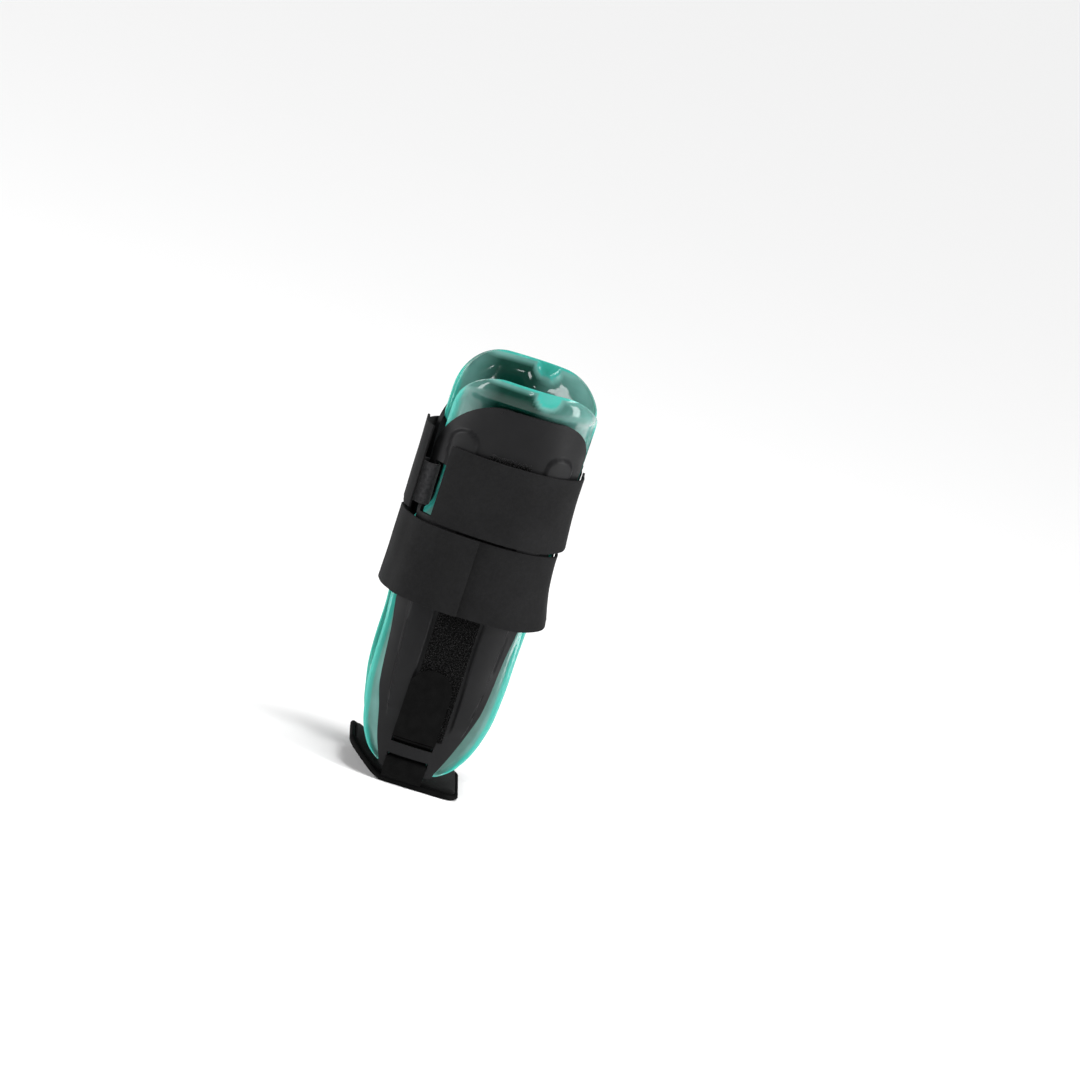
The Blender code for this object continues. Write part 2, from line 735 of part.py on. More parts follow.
def make_pivots():
    """One empty for each moving body, on the axis that the body turns about."""
    pivots = {}
    for side_name, side in SIDES.items():
        swing = Vector((0, side * SWING_AXIS_OUT, SWING_AXIS_HEIGHT)) * MM
        frame = new_pivot(f"{side_name}_frame", swing)
        pivots[f"{side_name}_frame"] = frame
        tab_axis = on_form(side, 0, TAB_AXIS_HEIGHT, TAB_AXIS_PROUD)
        pivots[f"{side_name}_heel_tab"] = new_pivot(f"{side_name}_heel_tab_pivot", tab_axis, frame)
    lateral = pivots["lateral_frame"]
    upper_middle, lower_middle = sum(UPPER_STRAP) / 2, sum(LOWER_STRAP) / 2
    front_out = STRAP_THICK + under_layer(FRONT_LINE, UPPER_FLARE)
    back_out = STRAP_THICK + over_layer(-FRONT_LINE, 0)
    places = {
        "upper_strap_end": on_form(LATERAL, FRONT_LINE, upper_middle, front_out),
        "upper_strap_rear": on_form(LATERAL, ANCHOR_BAR[0], upper_middle, ANCHOR_BAR[1]),
        "lower_strap_end": on_form(LATERAL, -FRONT_LINE, lower_middle, back_out),
    }
    for name, place in places.items():
        pivots[name] = new_pivot(f"{name}_pivot", place, lateral)
    return pivots


def main():
    pivots = make_pivots()
    make_heel_stirrup()
    for side_name, side in SIDES.items():
        frame = pivots[f"{side_name}_frame"]
        make_shell(side_name, side, frame)
        make_gel_pad(side_name, side, frame)
        make_shell_lining(side_name, side, frame)
        make_loop_strip(side_name, side, frame)
        make_heel_riser(side_name, side, frame)
        make_heel_tab(side_name, side, pivots[f"{side_name}_heel_tab"])
    make_straps(pivots)


main()
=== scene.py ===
import math
import random

import bmesh
import bpy
from mathutils import Matrix, Vector, noise


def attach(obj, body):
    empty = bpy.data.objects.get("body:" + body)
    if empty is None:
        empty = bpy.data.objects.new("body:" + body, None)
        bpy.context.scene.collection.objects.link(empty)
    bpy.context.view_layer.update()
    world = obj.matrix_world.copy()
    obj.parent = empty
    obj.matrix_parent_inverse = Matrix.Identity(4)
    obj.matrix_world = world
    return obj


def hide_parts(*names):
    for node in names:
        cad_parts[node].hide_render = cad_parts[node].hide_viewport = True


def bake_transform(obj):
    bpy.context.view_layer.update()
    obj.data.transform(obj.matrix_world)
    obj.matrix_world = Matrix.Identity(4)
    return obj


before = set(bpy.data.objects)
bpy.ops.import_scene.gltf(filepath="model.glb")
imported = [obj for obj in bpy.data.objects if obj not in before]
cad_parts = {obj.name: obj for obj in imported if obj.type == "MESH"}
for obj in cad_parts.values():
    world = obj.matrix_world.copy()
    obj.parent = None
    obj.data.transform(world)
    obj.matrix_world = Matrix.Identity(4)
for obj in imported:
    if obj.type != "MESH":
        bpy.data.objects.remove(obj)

# A gel-lined stirrup ankle brace, dressed for its picture. The CAD frame holds the sizes and joints, and
# each piece here is a finer mesh of the same form. X is ahead, Y is towards the inner side, Z is up.
# Lengths are in millimetres until on_form and its like hand back points in metres.

MM = 0.001
LATERAL, MEDIAL = -1, 1
SIDES = {"lateral": LATERAL, "medial": MEDIAL}

# The form round the leg, in rows of (height, reach to the side, reach ahead and behind).
LEG_FORM = (
    (0, 38, 42),
    (30, 43, 46),
    (65, 48, 52),
    (100, 45.5, 52),
    (120, 45, 51),
    (170, 48, 51),
    (220, 52, 52),
    (290, 56, 53),
)
SQUARENESS = 2.3
MOST_AHEAD = 0.985

# Moulded shells.
SHELL_OUTLINE = (
    (14, 18.3, -1.5),
    (28, 24, -1),
    (46, 29.5, 0),
    (62, 34, 0),
    (98, 37.5, 0),
    (120, 40.5, 0),
    (216, 46.5, 0),
    (260, 47, 0),
)
SHELL_BOTTOM = 10
SHELL_TOP = 256
SHELL_CORNER = 20
SHELL_REAR_CORNER = (38, 44)
SHELL_FOOT_CORNER = 4
SHELL_THICK = 2.6
CHANNEL_REAR = -13.2
CHANNEL_FRONT = 16.2
RIB_LINE = ((40, 20.5, 4), (60, 22, 5.5), (110, 23.8, 7.6), (226, 31, 8))
RIB_RAISED = 1.7
RIB_SLOPE = 0.9
RIB_FOOT = 40
RIB_FOOT_FADE = 10
RIB_TOP = 234
GROOVES = (((32.8, 88), (34.6, 112)), ((27.6, 58.4), (30.5, 72.6)), ((-21.3, 46.7), (-26.3, 47.8)))
GROOVE_DEPTH = 0.5
GROOVE_WIDTH = 0.6
HEEL_SLOTS = ((14.8, 20), (28, 34))
HEEL_SLOT_REAR = -16
HEEL_SLOT_FRONT = 11.6
REAR_SLOT_BACK = -42.5
REAR_SLOT_FRONT = -33
REAR_SLOT_LOW = 173
REAR_SLOT_HIGH = 208
REAR_SLOT_EASE = 22
HEEL_SLOT_EASE = 14
SLOT_BACK_SHARE = 0.05
SLOT_FRONT_SHARE = 0.15
CHANNEL_SHARE = 0.7
REAR_STRETCH_LEAST = 2.5
SHELL_COLUMNS = (3, 7, 24, 20, 38)
SHELL_STEP = 1.3

# Gel pads.
GEL_MARGIN = (
    (10, 3, 5),
    (28, 7, 10.5),
    (46, 7, 10.5),
    (62, 5, 8),
    (80, 3.7, 7),
    (100, 2, 5.5),
    (120, 0.5, 4),
    (216, -5.5, 2.5),
    (273, -6.4, 2),
)
GEL_BOTTOM = 11.5
GEL_TOP = 273
GEL_CORNER = 27
GEL_FOOT_CORNER = 8
GEL_FACE = -5.9
GEL_RIM_FACE = -3
GEL_RIM_THICK = 1.2
GEL_FILL = 8.2
GEL_SCALLOP = 10
GEL_SCALLOP_HALF_HEIGHT = 36
GEL_SCALLOP_STEEPNESS = 2.4
GEL_WELD = 1.9
GEL_SHOULDER = 10
GEL_NOTCH_AHEAD = 12.8
GEL_NOTCH_RADIUS = 6.5
GEL_NOTCH_HEIGHT = 271.5
GEL_TOP_BULGE = 3.2
GEL_FREE_FROM = 226
GEL_FREE_EASE = 8
GEL_PAST_FRONT_EASE = 3
GEL_CLEAR_FROM = 254
GEL_CLEAR_EASE = 5
GEL_COLUMNS = 34
GEL_STEP = 4.2
GEL_MOST_MOVE = 4
GEL_HELD_RIM = 1
GEL_HELD_ABOVE_SHELL = 2
GEL_HELD_FACE = 1

# How much painted shade darkens the gel, from 0 to 1, and where.
GEL_SHADE_LEAST = 0.08
GEL_SHADE_FRONT = 0.5
GEL_SHADE_TOP = 0.15
GEL_SHADE_MIDDLE = 0.95
GEL_SHADE_FRONT_EASE = 20
GEL_SHADE_TOP_FROM = 234
GEL_SHADE_TOP_EASE = 14
GEL_SHADE_MIDDLE_AHEAD = -6
GEL_SHADE_MIDDLE_REACH = 26
DEPTH_EASE = 3
WELD_LINE_INSET = 1
WELD_LINE_EASE = 0.8

# The lining and the loop strip.
BACKING_LAYER = (-5.1, -4.2)
BACKING_HEIGHTS = (42, 236)
BACKING_SHARE = 0.62
PATCH_LAYER = (-3.9, -3.2)
PATCH_HALF_WIDTH = 14
PATCH_HEIGHTS = {"upper": (150, 200), "lower": (62, 98)}
STRIP_LAYER = (0.3, 1.2)
STRIP_REAR = -12
STRIP_FRONT = 15
STRIP_LOW = 35.5
STRIP_HIGH = 224
LOOP_HEIGHT = 0.9
LOOP_WIDTH = 1.2
YARN_THICK = 0.17
LOOP_SPACING = 1.15
LOOP_STRAY = 0.6
LOOP_EDGE = 0.6
LOOP_BURIED = 0.1
LOOP_SIZES = (0.6, 1.15)
LOOPS_ABOVE_TAB_LOW = 5
LOOPS_UNDER_LOWER_STRAP = 6
LOOPS_UNDER_UPPER_STRAP = 3
LOOPS_PAST_TOP = 1.5

# The heel strap.
HEEL_STRAP_REAR = -15.2
HEEL_STRAP_FRONT = 10.8
HEEL_STRAP_THICK = 1.5
TAB_HOOK_LAYER = (1.7, 2.2)
TAB_LAYER = (2.5, 3.9)
TAB_LOW = 32.9
TAB_HIGH = 81
TAB_STEP = 1.5
TAB_TURNS = 16
TAB_LAST_TURN = 88
TAB_LEAST_REACH = 0.5
TAB_HOOK_INSET = 4
TAB_HOOK_FROM = 6
TAB_BORDER_DEPTH = 0.22
TAB_BORDER_INSET = 2.2
TAB_BORDER_WIDTH = 0.7
TAB_END_STRETCH = 1.6

# Where a shell's swing axis lies, out from the middle of the leg and up, at which the heel strap's side
# turns from under the heel to up the shell.
SWING_AXIS_OUT = 38.6
SWING_AXIS_HEIGHT = 4.6

# Where it leaves the heel pad before the bend, out of the axis and up from the strap's middle.
RISER_START = ((-6, 0), (-2.8, 0.1))
RISER_CURL_FROM = 3
RISER_CURL_EASE = 4
RISER_CURVE_EASE = 6

# The heel strap's middle line up through a shell's two slots, as (proud, height).
RISER_LINE = (
    (0.9, 7.5),
    (1.3, 11),
    (1.3, 14.5),
    (0.7, 16.7),
    (-2.4, 17.8),
    (-3.8, 19.6),
    (-3.8, 24),
    (-3.8, 28.2),
    (-2.4, 30),
    (0.4, 31.2),
    (1.9, 32.2),
)

# The shin straps. Directions round the leg are in degrees: 0 is the middle of the outer side, 90 the front.
LOWER_STRAP = (119, 169.5)
UPPER_STRAP = (171.5, 222)
STRAP_THICK = 1.5
STRAP_STEP = 1.8
STRAP_RIPPLE = 0.35
STRAP_RIPPLE_SIZE = 24
LOWER_FLARE = 6.5
UPPER_FLARE = 3
STRAP_FRONT_DIP = 4
STRAP_BACK_DIP = 1.5
STRAP_DIP_SPAN = 32
STRAP_DIP_EASE = 26
STRAP_FRONT_RISE = 5
STRAP_RISE_SPAN = 60
STRAP_HOOK_INSET = 6
UNDER_HOOK_LAYER = (1.6, 2.1)
UNDER_HOOK_SPAN = (-10, 12)
UNDER_LAYER = 2.4
OVER_HOOK_LAYER = (4.3, 4.7)
OVER_HOOK_SPAN = (-30, -3)
OVER_LAYER = 5
OVER_CLIMB_FROM = -60
OVER_CLIMB_SPAN = 20
BAND_LAYER = 1.9
BAND_TUCKED_LAYER = 0.4
BAND_TUCKED_SPAN = 12
BAND_FREED_SPAN = 14
FRONT_LINE = 88
BAND_FIRST = 82
BAND_LAST = 278
UNDER_LAYER_END = -34
OVER_LAYER_END = -1
UPPER_END = -37.5
REAR_WING_HEIGHTS = (174, 229)
REAR_WING_EDGE = -56
REAR_WING_EDGE_PROUD = 6.5
REAR_WING_BACK_PROUD = 2.6
ANCHOR_HEIGHTS = (178, 205)
ANCHOR_THICK = 1.2
ANCHOR_BAR = -56.5
ANCHOR_LOOP = (
    (-62, 5),
    (-58, 3.9),
    (-54, 2.4),
    (-51.8, -0.2),
    (-51.8, -2.6),
    (-54.5, -4.9),
    (-59, -5.8),
    (-64.5, -5.4),
    (-70, -2.2),
    (-69.5, 1.4),
    (-66, 4),
)

# The heel pad.
HEEL_PAD_REAR = -40
HEEL_PAD_FRONT = 35
HEEL_PAD_HALF_WIDTH = 36.5
HEEL_PAD_CORNER = 9
HEEL_PAD_REAR_TAPER = 9
HEEL_COVER_LAYER = (0.1, 1.6)
HEEL_STRAP_LAYER = (2.1, 3.4)
HEEL_STRAP_END_INSET = 4
HEEL_CUSHION_LAYER = (3.7, 6.6)
HEEL_CUSHION_EDGE = 0.9
HEEL_CUSHION_SHOULDER = 7
HEEL_CUSHION_HELD = 2
HEEL_CUSHION_MOST_MOVE = 1.2
HEEL_BINDING_LIFT = 0.35
HEEL_BINDING_HALF_WIDTH = 1.7
HEEL_BINDING_HALF_HEIGHT = 1.95
HEEL_CURL_FROM = -14
HEEL_CURL_RISE = 16
HEEL_CURL_POWER = 1.5
HEEL_RIM_FROM = 24
HEEL_RIM_RISE = 3

# The picture's camera and lamps: places in metres, angles in degrees, powers in watts.
AIM = Vector((34.3, -50, 181.7)) * MM
CAMERA_TURN = -4
CAMERA_LIFT = 11.5
CAMERA_ROLL = 18
CAMERA_DISTANCE = 7.56
CAMERA_LENS = 400
OVERHEAD_STRENGTH = 2.6
OVERHEAD_SPREAD = 30
OVERHEAD_TILT = (12, 8, 0)
SOFTBOXES = {
    "rear_side": {"place": (-1.3, -0.35, 0.5), "size": (0.5, 1.1), "power": 20},
    "front_side": {"place": (1.2, -0.5, 0.5), "size": (0.5, 1.1), "power": 21},
    "upper_front": {"place": (0.25, -1.1, 1.25), "size": (0.22, 0.1), "power": 2},
}


def along_table(rows, height, column):
    """One column of a table at this height, along a smooth curve through its rows."""
    heights = [row[0] for row in rows]
    height = min(max(height, heights[0]), heights[-1])
    last = len(rows) - 1
    start = max(index for index in range(last) if heights[index] <= height)
    span = heights[start + 1] - heights[start]
    share = (height - heights[start]) / span

    def slope(index):
        before, after = max(index - 1, 0), min(index + 1, last)
        return (rows[after][column] - rows[before][column]) / (heights[after] - heights[before])

    square, cube = share**2, share**3
    return (
        (2 * cube - 3 * square + 1) * rows[start][column]
        + (cube - 2 * square + share) * span * slope(start)
        + (3 * square - 2 * cube) * rows[start + 1][column]
        + (cube - square) * span * slope(start + 1)
    )


def crowded(number, count):
    """A share from 0 to 1 of a row of points that stand closer together near both ends."""
    return 0.5 - 0.5 * math.cos(math.pi * number / count)


def smooth_step(value):
    """0 below 0, 1 above 1, and an even slope between."""
    value = min(max(value, 0), 1)
    return value * value * (3 - 2 * value)


def between(first, last, share):
    return first + (last - first) * share


def on_form(side, degrees, height, proud):
    """A point round the leg: 0 degrees is the middle of the side, 90 the front and -90 the back."""
    sine, cosine = math.sin(math.radians(degrees)), math.cos(math.radians(degrees))
    power = 2 / SQUARENESS
    out = (along_table(LEG_FORM, height, 1) + proud) * math.copysign(abs(cosine) ** power, cosine)
    ahead = (along_table(LEG_FORM, height, 2) + proud) * math.copysign(abs(sine) ** power, sine)
    return Vector((ahead, side * out, height)) * MM


def degrees_at(ahead, height, proud=0):
    """The direction of the form's point that lies this far ahead of the middle of the leg."""
    reach = along_table(LEG_FORM, height, 2) + proud
    share = min(abs(ahead) / reach, MOST_AHEAD)
    return math.copysign(math.degrees(math.asin(share ** (SQUARENESS / 2))), ahead)


def ripple(place, size, amount):
    """A small smooth unevenness, the same for every layer at one place."""
    return amount * noise.noise(place / (size * MM))


# ---------------------------------------------------------------- mesh helpers


def link(name, data):
    """Puts a mesh, lamp or camera in the scene."""
    thing = bpy.data.objects.new(name, data)
    bpy.context.scene.collection.objects.link(thing)
    return thing


def new_piece(name, mesh, material, smooth_angle=40):
    """Puts a finished bmesh in the scene as one named piece with its material."""
    mesh.normal_update()
    bmesh.ops.recalc_face_normals(mesh, faces=mesh.faces[:])
    data = bpy.data.meshes.new(name)
    mesh.to_mesh(data)
    mesh.free()
    data.shade_smooth()
    data.set_sharp_from_angle(angle=math.radians(smooth_angle))
    data.materials.append(material)
    return link(name, data)


def slab_mesh(columns, rows, corner, is_open=None):
    """A closed slab from a grid: corner(column, row, outer) places a point, and is_open leaves a hole."""
    mesh = bmesh.new()
    cells = [(column, row) for column in range(columns) for row in range(rows)]
    if is_open is not None:
        cells = [cell for cell in cells if not is_open(*cell)]
    kept = set(cells)
    points = {}

    def point(place, outer):
        if (place, outer) not in points:
            points[place, outer] = mesh.verts.new(corner(*place, outer))
        return points[place, outer]

    for column, row in cells:
        around = [(column, row), (column + 1, row), (column + 1, row + 1), (column, row + 1)]
        beyond = [(column, row - 1), (column + 1, row), (column, row + 1), (column - 1, row)]
        mesh.faces.new([point(place, 1) for place in around])
        mesh.faces.new([point(place, 0) for place in reversed(around)])
        for number, neighbour in enumerate(beyond):
            if neighbour not in kept:
                first, second = around[number], around[(number + 1) % 4]
                mesh.faces.new([point(first, 0), point(second, 0), point(second, 1), point(first, 1)])
    return mesh


def join_rings(mesh, rings):
    """Skins a tube between each ring of points and the next."""
    for first, second in zip(rings, rings[1:]):
        for number in range(len(first)):
            after = (number + 1) % len(first)
            mesh.faces.new([first[number], first[after], second[after], second[number]])


def round_rims(piece, width, segments=2, angle=50):
    """Rounds a slab's sharp rims and keeps its faces evenly shaded."""
    bevel = piece.modifiers.new("rounded_rims", "BEVEL")
    bevel.limit_method = "ANGLE"
    bevel.angle_limit = math.radians(angle)
    bevel.width = width * MM
    bevel.segments = segments
    bevel.miter_outer = "MITER_ARC"
    weighted = piece.modifiers.new("even_shading", "WEIGHTED_NORMAL")
    weighted.keep_sharp = False
    piece.data.shade_smooth()


def settle(piece):
    """Applies a piece's modifiers, so that its mesh is final."""
    graph = bpy.context.evaluated_depsgraph_get()
    data = bpy.data.meshes.new_from_object(piece.evaluated_get(graph))
    piece.modifiers.clear()
    piece.data = data
    return piece


def dress(piece, nodes, body=None):
    """Hides the CAD nodes that a piece stands for, and attaches the piece to the body that it rides on, when
    one is given.
    """
    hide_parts(*nodes)
    if body is not None:
        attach(piece, body)
    return piece


def rounded_rows(low, high, foot_corner, top_corner, heights, half_width, turns):
    """Rows of an outline with rounded corners, as (height, rear, front). heights are the rows between."""
    rows = []
    for turn in range(turns + 1):
        angle = math.radians(90 * turn / turns)
        rows.append((low + foot_corner * (1 - math.cos(angle)), foot_corner * (1 - math.sin(angle))))
    rows += [(height, 0) for height in heights if low + foot_corner < height < high - top_corner]
    for turn in range(turns + 1):
        angle = math.radians(90 * turn / turns)
        rows.append((high - top_corner + top_corner * math.sin(angle), top_corner * (1 - math.cos(angle))))
    return [(height, *half_width(height, taken)) for height, taken in rows]


def even_heights(low, high, step):
    count = math.ceil((high - low) / step)
    return [between(low, high, number / count) for number in range(count + 1)]


# ---------------------------------------------------------------- materials


class Surface:
    """One procedural material, put together from textures laid in the piece's own space."""

    def __init__(self, name, **settings):
        self.material = bpy.data.materials.new(name)
        self.material.use_nodes = True
        self.nodes = self.material.node_tree.nodes
        self.links = self.material.node_tree.links
        self.shader = self.nodes["Principled BSDF"]
        self.place = self.nodes.new("ShaderNodeTexCoord").outputs["Object"]
        for socket, value in settings.items():
            self.shader.inputs[socket.replace("_", " ")].default_value = value

    def texture(self, kind, output, scale, stretch=(1, 1, 1), **inputs):
        """A texture at this many grains per metre, stretched along the axes."""
        mapping = self.nodes.new("ShaderNodeMapping")
        mapping.inputs["Scale"].default_value = stretch
        self.links.new(self.place, mapping.inputs["Vector"])
        texture = self.nodes.new(kind)
        self.links.new(mapping.outputs["Vector"], texture.inputs["Vector"])
        texture.inputs["Scale"].default_value = scale
        for socket, value in inputs.items():
            texture.inputs[socket.replace("_", " ")].default_value = value
        return texture.outputs[output]

    def noise(self, scale, detail=3, stretch=(1, 1, 1)):
        return self.texture("ShaderNodeTexNoise", "Fac", scale, stretch, Detail=detail)

    def cells(self, scale, stretch=(1, 1, 1)):
        return self.texture("ShaderNodeTexVoronoi", "Distance", scale, stretch)

    def painted(self, name):
        """A value that the mesh itself carries at each point."""
        reader = self.nodes.new("ShaderNodeAttribute")
        reader.attribute_name = name
        return reader.outputs["Fac"]

    def ranged(self, value, low, high, to_low=0, to_high=1):
        ranger = self.nodes.new("ShaderNodeMapRange")
        self.links.new(value, ranger.inputs["Value"])
        ends = {"From Min": low, "From Max": high, "To Min": to_low, "To Max": to_high}
        for socket, number in ends.items():
            ranger.inputs[socket].default_value = number
        return ranger.outputs["Result"]

    def mixed(self, factor, first, second):
        """A colour between two, each given as numbers or as a socket."""
        mixer = self.nodes.new("ShaderNodeMix")
        mixer.data_type = "RGBA"
        self.links.new(factor, mixer.inputs["Factor"])
        for socket, colour in ((mixer.inputs[6], first), (mixer.inputs[7], second)):
            if isinstance(colour, tuple):
                socket.default_value = (*colour, 1)
            else:
                self.links.new(colour, socket)
        return mixer.outputs[2]

    def sum(self, first, second, share):
        """first plus a share of second."""
        adder = self.nodes.new("ShaderNodeMath")
        adder.operation = "MULTIPLY_ADD"
        self.links.new(second, adder.inputs[0])
        adder.inputs[1].default_value = share
        self.links.new(first, adder.inputs[2])
        return adder.outputs["Value"]

    def colour(self, socket):
        self.links.new(socket, self.shader.inputs["Base Color"])

    def shade(self, pattern, low, high, first, second):
        """Colours the surface from first, where a pattern is low, to second, where it is high."""
        self.colour(self.mixed(self.ranged(pattern, low, high), first, second))

    def roughness(self, socket):
        self.links.new(socket, self.shader.inputs["Roughness"])

    def bump(self, height, depth, strength=1.0):
        """Raises the surface by depth millimetres where height is 1."""
        bump = self.nodes.new("ShaderNodeBump")
        bump.inputs["Strength"].default_value = strength
        bump.inputs["Distance"].default_value = depth * MM
        self.links.new(height, bump.inputs["Height"])
        self.links.new(bump.outputs["Normal"], self.shader.inputs["Normal"])


def grey(value):
    return value, value, value


def shell_plastic():
    """Satin black nylon with a faint moulded grain."""
    surface = Surface("shell_plastic", Specular_IOR_Level=0.10)
    surface.shade(surface.noise(26, 4), 0.3, 0.7, (0.007, 0.007, 0.0075), (0.011, 0.011, 0.0115))
    surface.roughness(surface.ranged(surface.noise(90, 5), 0.3, 0.7, 0.36, 0.5))
    surface.bump(surface.sum(surface.noise(1400, 2), surface.noise(60, 2), 0.6), 0.05, 0.5)
    return surface.material


def gel_film():
    """Glossy green film over soft gel: bright at its welded rim, milky where thin, and darkened inward by
    painted shade.
    """
    surface = Surface(
        "gel_film",
        Specular_IOR_Level=0.2,
        Coat_Weight=0.3,
        Coat_Roughness=0.05,
        Subsurface_Weight=0.25,
        Subsurface_Radius=(0.002, 0.006, 0.004),
        Subsurface_Scale=1.0,
    )
    cloud = surface.ranged(surface.noise(38, 3), 0.35, 0.65)
    milky = surface.mixed(cloud, (0.075, 0.20, 0.175), (0.125, 0.29, 0.26))
    # Painted shade: the painted depth value darkens the milky gel towards deep green, most across the top's
    # middle.
    body = surface.mixed(surface.painted("depth"), milky, (0.002, 0.026, 0.018))
    surface.colour(surface.mixed(surface.painted("weld"), body, (0.04, 0.33, 0.28)))
    surface.roughness(surface.ranged(surface.noise(120, 2), 0.3, 0.7, 0.1, 0.2))
    surface.bump(surface.noise(150, 3), 0.25, 0.35)
    return surface.material


def loop_pile():
    """The fuzzy side of a fastener: a dark ground under a mat of small loops."""
    surface = Surface("loop_pile", Roughness=0.95, Specular_IOR_Level=0.05, Sheen_Weight=0.03)
    tufts = surface.cells(850)
    surface.shade(tufts, 0.1, 0.7, grey(0.005), grey(0.001))
    surface.bump(surface.sum(surface.noise(1500, 3), tufts, -1.0), 0.5)
    return surface.material


def loop_yarn():
    """The loops themselves, some darker than others."""
    surface = Surface("loop_yarn", Roughness=0.7, Specular_IOR_Level=0.15, Sheen_Weight=0.08)
    surface.shade(surface.noise(400, 2), 0.35, 0.65, grey(0.002), grey(0.016))
    surface.bump(surface.noise(4000, 2), 0.05, 0.5)
    return surface.material


def hook_tape():
    """The stiff side of a fastener, with rows of small hooks."""
    surface = Surface("hook_tape", Roughness=0.6, Specular_IOR_Level=0.3)
    hooks = surface.cells(700, (1, 1, 1.4))
    surface.shade(hooks, 0.1, 0.6, grey(0.03), grey(0.006))
    surface.bump(surface.sum(surface.noise(2500, 1), hooks, -1.5), 0.4)
    return surface.material


def strap_fabric():
    """Laminated charcoal cloth: matt, finely woven and faintly mottled."""
    surface = Surface("strap_fabric", Roughness=0.85, Specular_IOR_Level=0.08, Sheen_Weight=0.02)
    mottle = surface.sum(surface.noise(30, 5), surface.noise(420, 3), 0.5)
    surface.shade(mottle, 0.5, 1.0, (0.0065, 0.0065, 0.0067), (0.011, 0.011, 0.0114))
    weave = surface.sum(surface.noise(1900, 2, (1, 1, 0.25)), surface.noise(1900, 2, (0.25, 0.25, 1)), 1.0)
    surface.bump(surface.sum(weave, surface.noise(140, 3), 0.9), 0.12, 0.6)
    return surface.material


def heel_webbing():
    """Smooth black strapping with a fine rib."""
    surface = Surface("heel_webbing", Roughness=0.66, Specular_IOR_Level=0.05)
    surface.shade(surface.noise(170, 4), 0.35, 0.65, grey(0.0015), grey(0.003))
    weave = surface.sum(surface.noise(2200, 2, (1, 1, 0.2)), surface.noise(260, 3), 0.7)
    surface.bump(weave, 0.1, 0.55)
    return surface.material


def pad_fabric():
    """Brushed black knit over the heel cushion."""
    surface = Surface("pad_fabric", Roughness=0.92, Specular_IOR_Level=0.05, Sheen_Weight=0.04)
    nap = surface.sum(surface.noise(60, 4), surface.noise(900, 2), 0.5)
    surface.shade(nap, 0.5, 1.0, grey(0.0025), grey(0.006))
    surface.bump(surface.sum(surface.cells(1100), surface.noise(300, 3), 0.8), 0.15, 0.7)
    return surface.material


def backing_fabric():
    """Napped charcoal cloth."""
    surface = Surface("backing_fabric", Roughness=0.9, Specular_IOR_Level=0.15, Sheen_Weight=0.3)
    nap = surface.noise(500, 3)
    surface.shade(nap, 0.35, 0.65, (0.014, 0.014, 0.015), (0.032, 0.032, 0.034))
    surface.bump(surface.sum(nap, surface.cells(1300), 0.6), 0.2, 0.7)
    return surface.material


SHELL_PLASTIC = shell_plastic()
GEL_FILM = gel_film()
LOOP_PILE = loop_pile()
LOOP_YARN = loop_yarn()
HOOK_TAPE = hook_tape()
STRAP_FABRIC = strap_fabric()
HEEL_WEBBING = heel_webbing()
PAD_FABRIC = pad_fabric()
BACKING_FABRIC = backing_fabric()


# ---------------------------------------------------------------- shells


def outline_edges(height, taken=0):
    """The rear and front edges of a shell's plain outline, drawn in by so much at a corner."""
    half = along_table(SHELL_OUTLINE, height, 1) - taken
    middle = along_table(SHELL_OUTLINE, height, 2)
    return middle - half, middle + half


def shell_edges(height, taken=0):
    """The shell's edges, where the broad corner at the rear of its top takes off more than the others."""
    across, down = SHELL_REAR_CORNER
    share = max(height - (SHELL_TOP - down), 0) / down
    broad = across * (1 - math.sqrt(max(1 - share**2, 0)))
    rear, front = outline_edges(height, taken)
    return max(rear, outline_edges(height)[0] + broad), front


def rib_raise(ahead, height):
    """How far the shell's outer face stands proud at a point, on either of its two round-topped ribs."""
    half = along_table(RIB_LINE, height, 2)
    aside = abs(ahead - (CHANNEL_REAR + CHANNEL_FRONT) / 2) - along_table(RIB_LINE, height, 1)
    past_top = max(height - (RIB_TOP - half), 0)
    inside = half - math.hypot(aside, past_top)
    foot = smooth_step((height - RIB_FOOT) / RIB_FOOT_FADE)
    return RIB_RAISED * smooth_step(inside / RIB_SLOPE + 0.5) * foot


def groove_dip(ahead, height):
    """How deep the mould's short grooves cut into a shell's outer face at a point."""
    from_groove = min(from_line(Vector((ahead, height)), *ends) for ends in GROOVES)
    return GROOVE_DEPTH * math.exp(-((from_groove / GROOVE_WIDTH) ** 2))


def from_line(point, start, end):
    """How far a flat point is from the line between two others."""
    start, end = Vector(start), Vector(end)
    along = end - start
    share = min(max((point - start).dot(along) / along.length_squared, 0), 1)
    return (start + along * share - point).length


def near_band(height, low, high, reach):
    """1 between two heights, fading to 0 at reach beyond them."""
    outside = max(low - height, height - high, 0)
    return 1 - smooth_step(outside / reach)


def shell_stations(height, rear, front):
    """Lines that a shell's grid follows from its rear edge to its front one, straight along the slots."""
    at_rear_slot = near_band(height, REAR_SLOT_LOW, REAR_SLOT_HIGH, REAR_SLOT_EASE)
    at_heel_slots = near_band(height, HEEL_SLOTS[0][0], HEEL_SLOTS[1][1], HEEL_SLOT_EASE)
    slot_back = between(between(rear, front, SLOT_BACK_SHARE), REAR_SLOT_BACK, at_rear_slot)
    slot_front = between(between(rear, front, SLOT_FRONT_SHARE), REAR_SLOT_FRONT, at_rear_slot)
    channel_rear = between(max(CHANNEL_REAR, CHANNEL_SHARE * rear), HEEL_SLOT_REAR, at_heel_slots)
    channel_front = between(min(CHANNEL_FRONT, CHANNEL_SHARE * front), HEEL_SLOT_FRONT, at_heel_slots)
    channel_rear = max(channel_rear, rear + REAR_STRETCH_LEAST)
    return rear, slot_back, slot_front, channel_rear, channel_front, front


